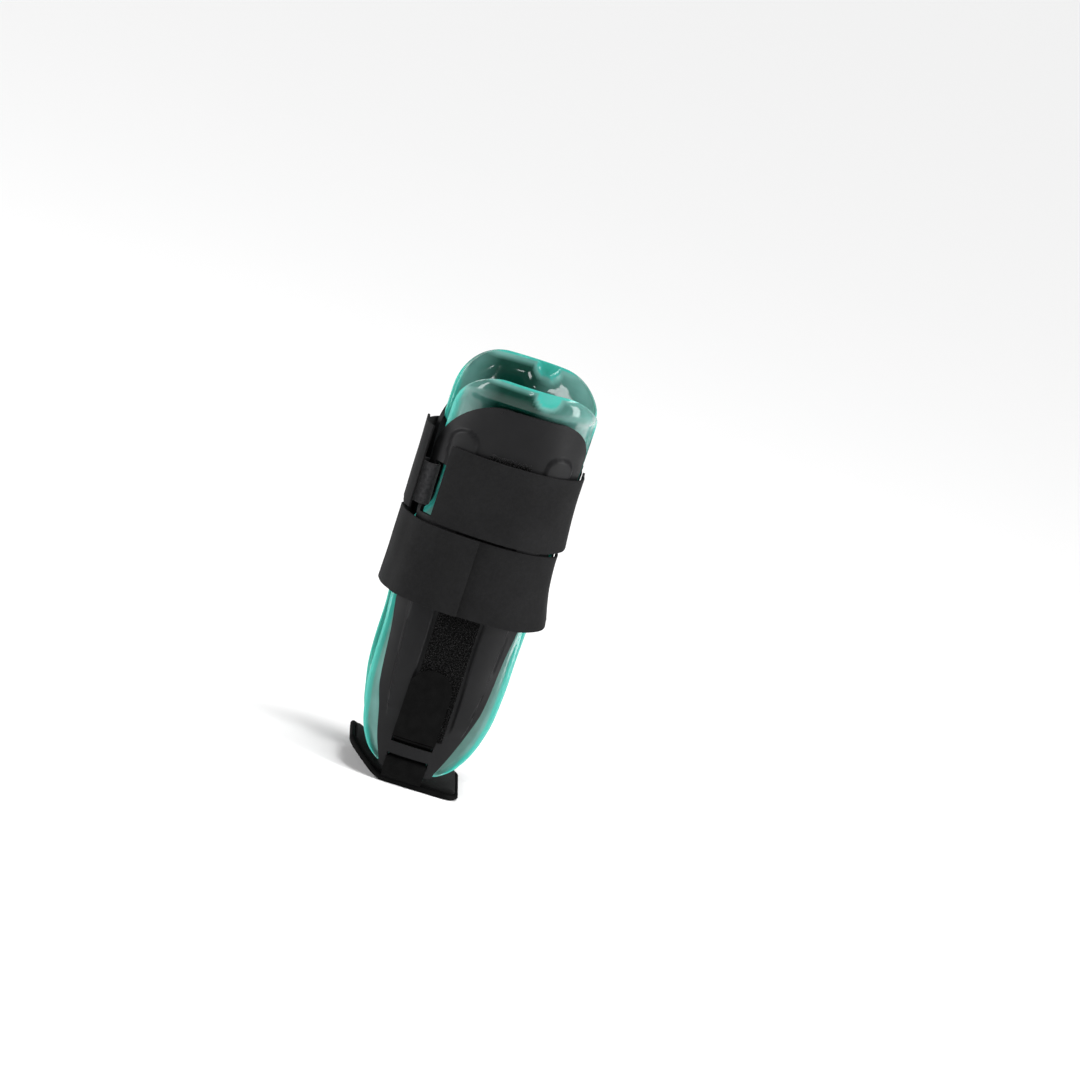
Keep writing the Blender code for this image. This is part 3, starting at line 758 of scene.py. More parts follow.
def on_stations(column, columns, stations):
    """Where a grid column runs among the lines that the grid follows, with so many columns between them."""
    stretch = 0
    while column > columns[stretch]:
        column -= columns[stretch]
        stretch += 1
    return between(stations[stretch], stations[stretch + 1], column / columns[stretch])


def stretch_of(column, columns):
    """Which stretch of the grid a cell is in."""
    stretch = 0
    while column >= columns[stretch]:
        column -= columns[stretch]
        stretch += 1
    return stretch


def shell_heights():
    """The shell's rows: even steps that also pass through each slot's ends."""
    marks = [SHELL_BOTTOM, *HEEL_SLOTS[0], *HEEL_SLOTS[1], REAR_SLOT_LOW, REAR_SLOT_HIGH, SHELL_TOP]
    heights = []
    for low, high in zip(marks, marks[1:]):
        heights += even_heights(low, high, SHELL_STEP)[:-1]
    return heights


def make_shell(side_name, side):
    """The moulded shell, with ribs and grooves in its outer face and its slots cut through."""
    rows = rounded_rows(
        SHELL_BOTTOM, SHELL_TOP, SHELL_FOOT_CORNER, SHELL_CORNER, shell_heights(), shell_edges, turns=10
    )
    columns = sum(SHELL_COLUMNS)
    heel_stretch, rear_stretch = 3, 1

    def corner(column, row, outer):
        height, rear, front = rows[row]
        ahead = on_stations(column, SHELL_COLUMNS, shell_stations(height, rear, front))
        proud = rib_raise(ahead, height) - groove_dip(ahead, height) if outer else -SHELL_THICK
        return on_form(side, degrees_at(ahead, height), height, proud)

    def in_slot(column, row):
        middle = (rows[row][0] + rows[row + 1][0]) / 2
        stretch = stretch_of(column, SHELL_COLUMNS)
        if stretch == heel_stretch:
            return any(low < middle < high for low, high in HEEL_SLOTS)
        return stretch == rear_stretch and REAR_SLOT_LOW < middle < REAR_SLOT_HIGH

    mesh = slab_mesh(columns, len(rows) - 1, corner, in_slot)
    shell = new_piece(f"{side_name}_moulded_shell", mesh, SHELL_PLASTIC)
    round_rims(shell, width=0.55, segments=3, angle=60)
    return dress(settle(shell), [f"{side_name}_shell"], f"{side_name}_frame")


# ---------------------------------------------------------------- gel pads


def gel_edges(height, taken=0):
    """The pad's rear and front edges. The rear one makes room for the strap loop in the shell's slot."""
    outline_rear, outline_front = outline_edges(height, taken)
    slot_middle = (REAR_SLOT_LOW + REAR_SLOT_HIGH) / 2
    nearness = 1 - abs(height - slot_middle) / GEL_SCALLOP_HALF_HEIGHT
    scallop = GEL_SCALLOP * smooth_step(nearness * GEL_SCALLOP_STEEPNESS)
    rear = outline_rear - along_table(GEL_MARGIN, height, 1) + scallop
    return rear, outline_front + along_table(GEL_MARGIN, height, 2)


def from_weld(ahead, height, rear, front):
    """How far a point of the gel pad lies inside its welded rim, which runs in round a notch at the top."""
    from_notch = math.hypot(ahead - GEL_NOTCH_AHEAD, height - GEL_NOTCH_HEIGHT) - GEL_NOTCH_RADIUS
    from_edge = min(ahead - rear, front - ahead, height - GEL_BOTTOM, GEL_TOP - height)
    return min(from_edge, from_notch) - GEL_WELD


def gel_fullness(inside):
    """A pillow's round shoulder: 0 on the weld, 1 well inside it."""
    share = min(max(inside / GEL_SHOULDER, 0), 1)
    return math.sqrt(1 - (1 - share) ** 2)


def gel_layer(ahead, height, inside, outer):
    """How proud the pad's outer or inner film is. It bulges out above the shell, and lies flat behind it."""
    full = gel_fullness(inside)
    if not outer:
        return GEL_RIM_FACE - GEL_RIM_THICK - (GEL_FILL + GEL_RIM_FACE - GEL_FACE) * full
    past_front = smooth_step((ahead - shell_edges(height)[1]) / GEL_PAST_FRONT_EASE)
    past_front *= smooth_step((height - GEL_FREE_FROM) / GEL_FREE_EASE)
    above = max(smooth_step((height - GEL_CLEAR_FROM) / GEL_CLEAR_EASE), past_front)
    tucked = GEL_RIM_FACE + (GEL_FACE - GEL_RIM_FACE) * smooth_step(2 * full)
    return between(tucked, GEL_RIM_FACE + GEL_TOP_BULGE * full, above)


def paint(piece, name, values):
    """Stores one value for each point of a mesh, for its material to read."""
    attribute = piece.data.attributes.new(name, "FLOAT", "POINT")
    attribute.data.foreach_set("value", values)


def gel_painted_shade(ahead, height):
    """Painted shade on the gel: darkest in the middle of the top, some towards the front, and least along
    the rear side.
    """
    at_top = smooth_step((height - GEL_SHADE_TOP_FROM) / GEL_SHADE_TOP_EASE)
    in_middle = math.exp(-(((ahead - GEL_SHADE_MIDDLE_AHEAD) / GEL_SHADE_MIDDLE_REACH) ** 2))
    at_front = smooth_step(ahead / GEL_SHADE_FRONT_EASE) * (1 - at_top)
    return min(1, GEL_SHADE_LEAST + GEL_SHADE_FRONT * at_front + at_top * (GEL_SHADE_TOP + GEL_SHADE_MIDDLE * in_middle))


def inflate(piece, pinned, pressure=4, frames=20):
    """Fills a closed mesh as cloth under pressure, with some of its points held, and keeps the result."""
    held = piece.vertex_groups.new(name="held")
    for number, weight in enumerate(pinned):
        held.add([number], weight, "REPLACE")
    cloth = piece.modifiers.new("filling", "CLOTH")
    settings = cloth.settings
    settings.quality = 6
    settings.mass = 0.3
    settings.tension_stiffness = 18
    settings.compression_stiffness = 12
    settings.bending_stiffness = 0.6
    settings.vertex_group_mass = "held"
    settings.use_pressure = True
    settings.uniform_pressure_force = pressure
    settings.effector_weights.gravity = 0
    cloth.point_cache.frame_start = 1
    cloth.point_cache.frame_end = frames
    scene = bpy.context.scene
    for number in range(1, frames + 1):
        scene.frame_set(number)
    settle(piece)
    piece.vertex_groups.clear()
    scene.frame_set(1)
    return piece


def limit_moves(piece, before, most):
    """Keeps each point of a filled mesh within a distance of where it was before."""
    for point, start in zip(piece.data.vertices, before):
        move = point.co - start
        if move.length > most * MM:
            point.co = start + move.normalized() * most * MM


def subdivide_once(piece):
    smoother = piece.modifiers.new("finer", "SUBSURF")
    smoother.levels = 1
    smoother.render_levels = 1
    return settle(piece)


def make_gel_pad(side_name, side):
    """The pad's film, filled as cloth under pressure with its welded rim and its face on the shell held."""
    heights = even_heights(GEL_BOTTOM, GEL_TOP, GEL_STEP)
    rows = rounded_rows(GEL_BOTTOM, GEL_TOP, GEL_FOOT_CORNER, GEL_CORNER, heights, gel_edges, turns=9)

    def spot(column, row):
        """Where a grid point lies, with the columns closer together near the rims."""
        height, rear, front = rows[row]
        return between(rear, front, crowded(column, GEL_COLUMNS)), height, rear, front

    def corner(column, row, outer):
        ahead, height, rear, front = spot(column, row)
        proud = gel_layer(ahead, height, from_weld(ahead, height, rear, front), outer)
        return on_form(side, degrees_at(ahead, height, GEL_FACE), height, proud)

    mesh = slab_mesh(GEL_COLUMNS, len(rows) - 1, corner)
    pad = new_piece(f"{side_name}_filled_gel_pad", mesh, GEL_FILM, smooth_angle=180)
    before = [point.co.copy() for point in pad.data.vertices]

    def place_of(point):
        height = point.z / MM
        rear, front = gel_edges(height)
        return point.x / MM, height, rear, front

    def hold(point):
        ahead, height, rear, front = place_of(point)
        outer = abs(point.y) / MM > form_out(ahead, height) + GEL_FACE - GEL_HELD_FACE
        on_weld = from_weld(ahead, height, rear, front) < GEL_HELD_RIM
        behind_shell = outer and height < SHELL_TOP + GEL_HELD_ABOVE_SHELL
        return 1.0 if on_weld or behind_shell else 0.0

    inflate(pad, [hold(point.co) for point in pad.data.vertices])
    limit_moves(pad, before, GEL_MOST_MOVE)
    subdivide_once(pad)
    pad.data.shade_smooth()

    weld, depth = [], []
    for point in pad.data.vertices:
        ahead, height, rear, front = place_of(point.co)
        inside = from_weld(ahead, height, rear, front)
        weld.append(1 - smooth_step((inside + WELD_LINE_INSET) / WELD_LINE_EASE))
        # The depth value is painted shade, faded out near the weld where the gel is thin.
        depth.append(smooth_step(inside / DEPTH_EASE) * gel_painted_shade(ahead, height))
    paint(pad, "weld", weld)
    paint(pad, "depth", depth)
    dress(pad, [f"{side_name}_gel_pad"], f"{side_name}_frame")


def form_out(ahead, height):
    """The form's reach to the side at a point this far ahead."""
    return abs(on_form(MEDIAL, degrees_at(ahead, height), height, 0).y) / MM


# ---------------------------------------------------------------- flat patches, loop strips


def make_flat_patch(name, side, material, edges, heights, layer, step=2.5):
    """A thin patch that follows the form between two edges and two heights."""
    rows = even_heights(*heights, step)
    columns = 14

    def corner(column, row, outer):
        rear, front = edges(rows[row])
        ahead = between(rear, front, column / columns)
        return on_form(side, degrees_at(ahead, rows[row]), rows[row], layer[outer])

    piece = new_piece(name, slab_mesh(columns, len(rows) - 1, corner), material)
    round_rims(piece, width=0.2)
    return settle(piece)


def make_shell_lining(side_name, side):
    """The hook patches inside the shell, and the loop backing of the gel pad that they hold."""
    body = f"{side_name}_frame"

    def patch_edges(height):
        return -PATCH_HALF_WIDTH, PATCH_HALF_WIDTH

    for level, heights in PATCH_HEIGHTS.items():
        name = f"{side_name}_{level}_hook"
        patch = make_flat_patch(f"{name}_square", side, HOOK_TAPE, patch_edges, heights, PATCH_LAYER)
        dress(patch, [f"{name}_patch"], body)

    def backing_edges(height):
        rear, front = outline_edges(height)
        return BACKING_SHARE * rear, BACKING_SHARE * front

    backing = make_flat_patch(
        f"{side_name}_pad_backing_cloth", side, BACKING_FABRIC, backing_edges, BACKING_HEIGHTS, BACKING_LAYER
    )
    dress(backing, [f"{side_name}_pad_backing"], body)


def add_loop(mesh, base, out, along, height, width):
    """One small arch of yarn, standing on base."""
    steps, sides = 5, 3
    across = out.cross(along).normalized()
    rings = []
    for step in range(steps + 1):
        angle = math.pi * step / steps
        middle = base + along * (width / 2 * math.cos(angle)) + out * (height * math.sin(angle))
        outward = (along * math.cos(angle) + out * math.sin(angle)).normalized()
        ring = []
        for number in range(sides):
            turn = 2 * math.pi * number / sides
            offset = (outward * math.cos(turn) + across * math.sin(turn)) * YARN_THICK / 2 * MM
            ring.append(mesh.verts.new(middle + offset))
        rings.append(ring)
    join_rings(mesh, rings)
    mesh.faces.new(list(reversed(rings[0])))
    mesh.faces.new(rings[-1])


def make_loop_strip(side_name, side):
    """A loop-faced strip in the shell's channel, with a mat of small loops and a ragged top end."""
    name, edges, heights = f"{side_name}_loop_strip", (STRIP_REAR, STRIP_FRONT), (STRIP_LOW, STRIP_HIGH)
    strip = make_flat_patch(f"{name}_ground", side, LOOP_PILE, lambda height: edges, heights, STRIP_LAYER)
    dress(strip, [f"{side_name}_loop_strip"], f"{side_name}_frame")

    chance = random.Random(7)
    mesh = bmesh.new()
    shown = (
        (TAB_LOW + LOOPS_ABOVE_TAB_LOW, LOWER_STRAP[0] + LOOPS_UNDER_LOWER_STRAP),
        (UPPER_STRAP[1] - LOOPS_UNDER_UPPER_STRAP, STRIP_HIGH + LOOPS_PAST_TOP),
    )
    for low, high in shown:
        for height in even_heights(low, high, LOOP_SPACING):
            for ahead in even_heights(STRIP_REAR + LOOP_EDGE, STRIP_FRONT - LOOP_EDGE, LOOP_SPACING):
                place = height + chance.uniform(-LOOP_STRAY, LOOP_STRAY)
                across = ahead + chance.uniform(-LOOP_STRAY, LOOP_STRAY)
                degrees = degrees_at(across, place)
                base = on_form(side, degrees, place, STRIP_LAYER[1] - LOOP_BURIED)
                out = (on_form(side, degrees, place, STRIP_LAYER[1] + 1) - base).normalized()
                lean = Vector((chance.uniform(-1, 1), 0, chance.uniform(-1, 1))).normalized()
                along = (lean - out * lean.dot(out)).normalized()
                size = chance.uniform(*LOOP_SIZES)
                add_loop(mesh, base, out, along, LOOP_HEIGHT * size * MM, LOOP_WIDTH * size * MM)
    loops = new_piece(f"{side_name}_loop_strip_loops", mesh, LOOP_YARN, smooth_angle=180)
    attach(loops, f"{side_name}_frame")


# ---------------------------------------------------------------- heel strap


def ribbon_mesh(line, thick, rows, place):
    """A band of even thickness along a line of flat points: place(point, row) carries them to each row."""
    last = len(line) - 1

    def corner(column, row, outer):
        before, after = line[max(column - 1, 0)], line[min(column + 1, last)]
        across = Vector((before[1] - after[1], after[0] - before[0])).normalized()
        reach = thick / 2 if outer else -thick / 2
        return place(Vector(line[column]) + across * reach, row)

    return slab_mesh(last, rows, corner)


def smooth_line(points, pieces):
    """More points along a smooth curve through a few."""
    line = []
    last = len(points) - 1
    for number in range(last):
        before, start = points[max(number - 1, 0)], points[number]
        end, after = points[number + 1], points[min(number + 2, last)]
        for piece in range(pieces):
            share = piece / pieces
            line.append(tuple(catmull(*values, share) for values in zip(before, start, end, after)))
    return [*line, points[-1]]


def catmull(before, start, end, after, share):
    """A value on the smooth curve from start to end."""
    square, cube = share**2, share**3
    return 0.5 * (
        2 * start
        + (end - before) * share
        + (2 * before - 5 * start + 4 * end - after) * square
        + (3 * start - before - 3 * end + after) * cube
    )


def heel_riser_line():
    """The heel strap's middle line from under the heel up through the two slots: (proud, height)."""
    bend = SWING_AXIS_OUT - along_table(LEG_FORM, SWING_AXIS_HEIGHT, 1)
    under_heel = (HEEL_STRAP_LAYER[0] + HEEL_STRAP_LAYER[1]) / 2
    start = [(bend + out, under_heel + up) for out, up in RISER_START]
    return [*start, (bend, SWING_AXIS_HEIGHT), *RISER_LINE]


def make_heel_strap(side_name, side):
    """The strap's side: from under the pad's edge, bending where the shell swings, up through both slots."""
    rows = 20

    def place(point, row):
        ahead = between(HEEL_STRAP_REAR, HEEL_STRAP_FRONT, row / rows)
        out = along_table(LEG_FORM, point.y, 1) + point.x
        flat = Vector((ahead, side * out, point.y)) * MM
        curved = on_form(side, degrees_at(ahead, point.y), point.y, point.x)
        lift = heel_pad_floor(ahead, out) * (1 - smooth_step((point.y - RISER_CURL_FROM) / RISER_CURL_EASE))
        flat.z += lift * MM
        return flat.lerp(curved, smooth_step((point.y - SWING_AXIS_HEIGHT) / RISER_CURVE_EASE))

    mesh = ribbon_mesh(smooth_line(heel_riser_line(), 4), HEEL_STRAP_THICK, rows, place)
    strap = new_piece(f"{side_name}_heel_strap", mesh, HEEL_WEBBING)
    round_rims(strap, width=0.45)
    dress(settle(strap), [f"{side_name}_heel_strap_riser"])

    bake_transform(strap)


def tab_rows():
    """Rows of the round-ended tab, as (height, half width)."""
    half = (HEEL_STRAP_FRONT - HEEL_STRAP_REAR) / 2
    shoulder = TAB_HIGH - half
    rows = [(height, half) for height in even_heights(TAB_LOW, shoulder, TAB_STEP)[:-1]]
    for turn in range(TAB_TURNS + 1):
        angle = math.radians(TAB_LAST_TURN * turn / TAB_TURNS)
        rows.append((shoulder + half * math.sin(angle), half * math.cos(angle)))
    return rows


def make_heel_tab(side_name, side):
    """The strap's end, a round-ended hook tab folded up onto the loop strip, with a pressed border."""
    columns = 26
    middle = (HEEL_STRAP_REAR + HEEL_STRAP_FRONT) / 2
    half = (HEEL_STRAP_FRONT - HEEL_STRAP_REAR) / 2

    def border_dip(share, reach, height):
        from_edge = min(half * (1 - abs(share)), reach if height > TAB_HIGH - half else half)
        from_edge = min(from_edge, (TAB_HIGH - height) * TAB_END_STRETCH)
        return TAB_BORDER_DEPTH * math.exp(-(((from_edge - TAB_BORDER_INSET) / TAB_BORDER_WIDTH) ** 2))

    def tab_part(name, material, layer, inset, rows, pressed):
        def corner(column, row, outer):
            height, reach = rows[row]
            share = 2 * column / columns - 1
            ahead = middle + max(reach - inset, TAB_LEAST_REACH) * share
            proud = layer[outer] - (border_dip(share, reach, height) if outer and pressed else 0)
            return on_form(side, degrees_at(ahead, height), height, proud)

        return new_piece(name, slab_mesh(columns, len(rows) - 1, corner), material)

    body = f"{side_name}_heel_tab"
    rows = tab_rows()
    tab = tab_part(f"{body}_cloth", HEEL_WEBBING, TAB_LAYER, 0, rows, True)
    round_rims(tab, width=0.5)
    dress(settle(tab), [body], body)
    hook_rows = [row for row in rows if row[0] > TAB_LOW + TAB_HOOK_FROM]
    hook = tab_part(f"{body}_hook_face", HOOK_TAPE, TAB_HOOK_LAYER, TAB_HOOK_INSET, hook_rows, False)
    dress(hook, [f"{body}_hook"], body)


def make_heel_strap_base():
    """The strap's length under the heel, between the pad's cover and its cushion."""
    columns, rows = 26, 40

    def corner(column, row, outer):
        ahead = between(HEEL_STRAP_REAR, HEEL_STRAP_FRONT, column / columns)
        out = (HEEL_PAD_HALF_WIDTH - HEEL_STRAP_END_INSET) * (2 * row / rows - 1)
        return heel_pad_point(ahead, out, HEEL_STRAP_LAYER[outer])

    base = new_piece("heel_strap_under_heel", slab_mesh(columns, rows, corner), HEEL_WEBBING)
    round_rims(base, width=0.4)
    dress(settle(base), ["heel_strap_base"], "heel_stirrup")


# ---------------------------------------------------------------- heel pad


def heel_behind(ahead):
    """How far a point is along the pad's curl: 0 where it starts, 1 at the pad's rear edge."""
    return max(HEEL_CURL_FROM - ahead, 0) / (HEEL_CURL_FROM - HEEL_PAD_REAR)


def heel_pad_point(ahead, out, layer):
    """A point of the pad in one of its layers, squarely off the underside where that curls."""
    steep = HEEL_CURL_RISE * HEEL_CURL_POWER / (HEEL_CURL_FROM - HEEL_PAD_REAR)
    slope = steep * heel_behind(ahead) ** (HEEL_CURL_POWER - 1)
    length = math.hypot(1, slope)
    height = heel_pad_floor(ahead, out) + layer / length
    return Vector((ahead + layer * slope / length, out, height)) * MM


def heel_pad_floor(ahead, out):
    """How far the pad's underside rises at a point: it curls up behind the heel and along its edges."""
    behind = heel_behind(ahead)
    aside = max(abs(out) - HEEL_RIM_FROM, 0) / (HEEL_PAD_HALF_WIDTH - HEEL_RIM_FROM)
    return HEEL_CURL_RISE * behind**HEEL_CURL_POWER + HEEL_RIM_RISE * smooth_step(behind) * aside**2


def heel_outline(share, inset):
    """Half the pad's width at a share of its length, with round corners and the rear drawn in."""
    ahead = between(HEEL_PAD_REAR + inset, HEEL_PAD_FRONT - inset, share)
    cut = HEEL_PAD_REAR_TAPER * heel_behind(ahead) ** 2
    for from_end in (HEEL_PAD_FRONT - inset - ahead, ahead - HEEL_PAD_REAR - inset):
        past_corner = max(HEEL_PAD_CORNER - from_end, 0)
        cut += HEEL_PAD_CORNER - math.sqrt(max(HEEL_PAD_CORNER**2 - past_corner**2, 0))
    return ahead, HEEL_PAD_HALF_WIDTH - inset - cut


def heel_layer(name, material, layer, inset, rounded):
    """One layer of the pad, thinning to its edges where rounded is set."""
    columns, rows = 44, 40

    def corner(column, row, outer):
        ahead, half = heel_outline(crowded(column, columns), inset)
        across = -math.cos(math.pi * row / rows)
        out = half * across
        low, high = layer
        if rounded:
            from_ends = min(ahead - HEEL_PAD_REAR - inset, HEEL_PAD_FRONT - inset - ahead)
            share = min(min(from_ends, half * (1 - abs(across))) / HEEL_CUSHION_SHOULDER, 1)
            high = between(low + HEEL_CUSHION_EDGE, high, math.sqrt(1 - (1 - share) ** 2))
        return heel_pad_point(ahead, out, high if outer else low)

    return new_piece(name, slab_mesh(columns, rows, corner), material, smooth_angle=70)


def make_heel_pad():
    """A flat cover below, a soft cushion above, and a tape round their edge."""
    cover = heel_layer("heel_pad_cover_cloth", PAD_FABRIC, HEEL_COVER_LAYER, 0, False)
    round_rims(cover, width=0.4)
    dress(settle(cover), ["heel_pad_cover"], "heel_stirrup")

    cushion = heel_layer("heel_pad_foam", PAD_FABRIC, HEEL_CUSHION_LAYER, 1, True)
    before = [point.co.copy() for point in cushion.data.vertices]
    held = [0.0 if point.co.z > under_cushion(point.co) else 1.0 for point in cushion.data.vertices]
    inflate(cushion, held, pressure=2)
    limit_moves(cushion, before, HEEL_CUSHION_MOST_MOVE)
    subdivide_once(cushion)
    cushion.data.shade_smooth()
    dress(cushion, ["heel_pad_cushion"], "heel_stirrup")
    make_heel_binding()


def under_cushion(point):
    """Just above the cushion's underside at a point."""
    return (heel_pad_floor(point.x / MM, point.y / MM) + HEEL_CUSHION_LAYER[0] + HEEL_CUSHION_HELD) * MM


def make_heel_binding():
    """A folded tape sewn round the pad's edge."""
    steps, sides = 60, 10
    path = []
    for side in (LATERAL, MEDIAL):
        stretch = []
        for step in range(steps + 1):
            ahead, half = heel_outline(crowded(step, steps), 0)
            stretch.append((ahead, side * max(half, 0)))
        path += stretch if side == LATERAL else list(reversed(stretch))
    mesh = bmesh.new()
    middle = (HEEL_COVER_LAYER[0] + HEEL_CUSHION_LAYER[0]) / 2 + HEEL_BINDING_LIFT
    rings = []
    total = len(path)
    for number, (ahead, out) in enumerate(path):
        before, after = path[number - 1], path[(number + 1) % total]
        along = Vector((after[0] - before[0], after[1] - before[1], 0))
        if along.length < 1e-6:
            continue
        outward = Vector((along.y, -along.x, 0)).normalized()
        centre = heel_pad_point(ahead, out, middle)
        ring = []
        for turn in range(sides):
            angle = 2 * math.pi * turn / sides
            offset = outward * (HEEL_BINDING_HALF_WIDTH * math.cos(angle))
            offset.z = HEEL_BINDING_HALF_HEIGHT * math.sin(angle)
            ring.append(mesh.verts.new(centre + offset * MM))
        rings.append(ring)
    join_rings(mesh, [*rings, rings[0]])
    binding = new_piece("heel_pad_binding", mesh, HEEL_WEBBING, smooth_angle=180)
    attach(binding, "heel_stirrup")


# ---------------------------------------------------------------- shin straps


def flare(degrees, down, most):
    """A closed strap stands off towards its bottom edge, where down is 1, and most at the front."""
    return most * down**2 * (1 + math.sin(math.radians(degrees))) / 2


def strap_dip(degrees):
    """A strap lies closer right across the front and the back of the leg, past the shells' edges."""
    from_front = abs(degrees - 90)
    from_back = min(abs(degrees + 90), abs(degrees - 270))
    at_front = smooth_step((STRAP_DIP_SPAN - from_front) / STRAP_DIP_EASE)
    at_back = smooth_step((STRAP_DIP_SPAN - from_back) / STRAP_DIP_EASE)
    return STRAP_FRONT_DIP * at_front + STRAP_BACK_DIP * at_back


def front_rise(degrees):
    """A strap's bottom edge rises a little towards the front of the leg."""
    return STRAP_FRONT_RISE * smooth_step(1 - abs(degrees - 90) / STRAP_RISE_SPAN)


def under_layer(degrees, lean):
    """The lengths that lie straight on the outer shell."""
    return UNDER_LAYER + lean - strap_dip(degrees)


def over_layer(degrees, lean):
    """The lower strap's end lies close at the back and climbs over the length under it."""
    climbed = smooth_step((degrees - OVER_CLIMB_FROM) / OVER_CLIMB_SPAN)
    return UNDER_LAYER + (OVER_LAYER - UNDER_LAYER) * climbed + lean - strap_dip(degrees)


def band_layer(degrees, lean):
    """The straps lie over the medial shell, and dip under the lateral lengths at both ends."""
    from_end = min(degrees - BAND_FIRST, BAND_LAST - degrees)
    freed = smooth_step((from_end - BAND_TUCKED_SPAN) / BAND_FREED_SPAN)
    free_layer = BAND_LAYER - BAND_TUCKED_LAYER + lean
    return BAND_TUCKED_LAYER + free_layer * freed - strap_dip(degrees)


def rear_wing_layer(degrees, lean):
    """The upper strap stands off the shell's rear edge and closes in towards the back of the leg."""
    share = (degrees + FRONT_LINE) / (REAR_WING_EDGE + FRONT_LINE)
    lifted = (REAR_WING_EDGE_PROUD - REAR_WING_BACK_PROUD) * smooth_step(share)
    return REAR_WING_BACK_PROUD + lifted + lean - strap_dip(degrees)


def strap_mesh(span, heights, most_flare, layer, thick, inset=0):
    """A length of strap between two directions round the leg, laid where layer(degrees, lean) says."""
    first, last = span
    columns = max(4, math.ceil(abs(last - first) / STRAP_STEP))
    rows = 20

    def corner(column, row, outer):
        degrees = between(first, last, column / columns)
        low, high = heights[0] + front_rise(degrees), heights[1]
        height = between(low + inset, high - inset, row / rows)
        down = (high - height) / (high - low)
        proud = layer(degrees, flare(degrees, down, most_flare)) + (thick if outer else 0)
        point = on_form(LATERAL, degrees, height, proud)
        return on_form(LATERAL, degrees, height, proud + ripple(point, STRAP_RIPPLE_SIZE, STRAP_RIPPLE))

    return slab_mesh(columns, rows, corner)


def make_strap(node, body, span, heights, most_flare, layer):
    mesh = strap_mesh(span, heights, most_flare, layer, STRAP_THICK)
    strap = new_piece(f"{node}_cloth", mesh, STRAP_FABRIC)
    round_rims(strap, width=0.35)
    dress(settle(strap), [node], body)


def make_strap_hook(node, body, span, heights, most_flare, layer):
    """The hook tape sewn inside a strap, with its inner face at layer[0] and its outer at layer[1]."""
    inner, outer = layer

    def even_layer(degrees, lean):
        return inner + lean

    mesh = strap_mesh(span, heights, most_flare, even_layer, outer - inner, STRAP_HOOK_INSET)
    dress(new_piece(f"{node}_face", mesh, HOOK_TAPE), [node], body)


def make_anchor_loop():
    """The upper strap's loop round the bar behind the shell's rear slot, leaning as the bar does."""
    rows = 16

    def flat(degrees, proud):
        point = on_form(LATERAL, degrees, ANCHOR_HEIGHTS[0], proud) / MM
        return point.x, point.y

    def bar(height):
        return on_form(LATERAL, ANCHOR_BAR, height, 0)

    def place(point, row):
        lean = bar(between(*ANCHOR_HEIGHTS, row / rows)) - bar(ANCHOR_HEIGHTS[0])
        return Vector((point.x, point.y, ANCHOR_HEIGHTS[0])) * MM + lean

    line = smooth_line([flat(degrees, proud) for degrees, proud in ANCHOR_LOOP], 4)
    loop = new_piece("upper_strap_anchor_tab", ribbon_mesh(line, ANCHOR_THICK, rows, place), BACKING_FABRIC)
    round_rims(loop, width=0.3)
    dress(settle(loop), ["upper_strap_anchor_loop"], "upper_strap_rear")


def make_straps():
    """The shin straps, each split where a part of it rides on another body."""
    lateral, medial, rear = "lateral_frame", "medial_frame", "upper_strap_rear"
    lower_end, upper_end = "lower_strap_end", "upper_strap_end"
    band, under, over = (BAND_FIRST, BAND_LAST), (UNDER_LAYER_END, FRONT_LINE), (-FRONT_LINE, OVER_LAYER_END)
    upper, wing = (UPPER_END, FRONT_LINE), (-FRONT_LINE, REAR_WING_EDGE)
    for node, body, span, heights, most_flare, layer in (
        ("lower_strap_band", medial, band, LOWER_STRAP, LOWER_FLARE, band_layer),
        ("upper_strap_band", medial, band, UPPER_STRAP, UPPER_FLARE, band_layer),
        ("lower_strap_under_length", lateral, under, LOWER_STRAP, LOWER_FLARE, under_layer),
        ("lower_strap_end", lower_end, over, LOWER_STRAP, LOWER_FLARE, over_layer),
        ("upper_strap_end", upper_end, upper, UPPER_STRAP, UPPER_FLARE, under_layer),
        ("upper_strap_rear_wing", rear, wing, REAR_WING_HEIGHTS, 0, rear_wing_layer),
    ):
        make_strap(node, body, span, heights, most_flare, layer)
    for node, body, span, heights, most_flare, layer in (
        ("lower_strap_end_hook", lower_end, OVER_HOOK_SPAN, LOWER_STRAP, LOWER_FLARE, OVER_HOOK_LAYER),
        ("lower_strap_under_hook", lateral, UNDER_HOOK_SPAN, LOWER_STRAP, 0, UNDER_HOOK_LAYER),
        ("upper_strap_end_hook", upper_end, UNDER_HOOK_SPAN, UPPER_STRAP, 0, UNDER_HOOK_LAYER),
    ):
        make_strap_hook(node, body, span, heights, most_flare, layer)
    make_anchor_loop()


# ---------------------------------------------------------------- stage, light and camera


def make_stage():
    """A wide white floor that the brace stands on."""
    material = bpy.data.materials.new("studio_white")
    material.use_nodes = True
    shader = material.node_tree.nodes["Principled BSDF"]
    shader.inputs["Base Color"].default_value = (0.9, 0.9, 0.9, 1)
    shader.inputs["Roughness"].default_value = 0.9
    shader.inputs["Specular IOR Level"].default_value = 0.1
    mesh = bmesh.new()
    bmesh.ops.create_grid(mesh, x_segments=1, y_segments=1, size=20)
    data = bpy.data.meshes.new("studio_floor")
    mesh.to_mesh(data)
    mesh.free()
    data.materials.append(material)
    link("studio_floor", data)


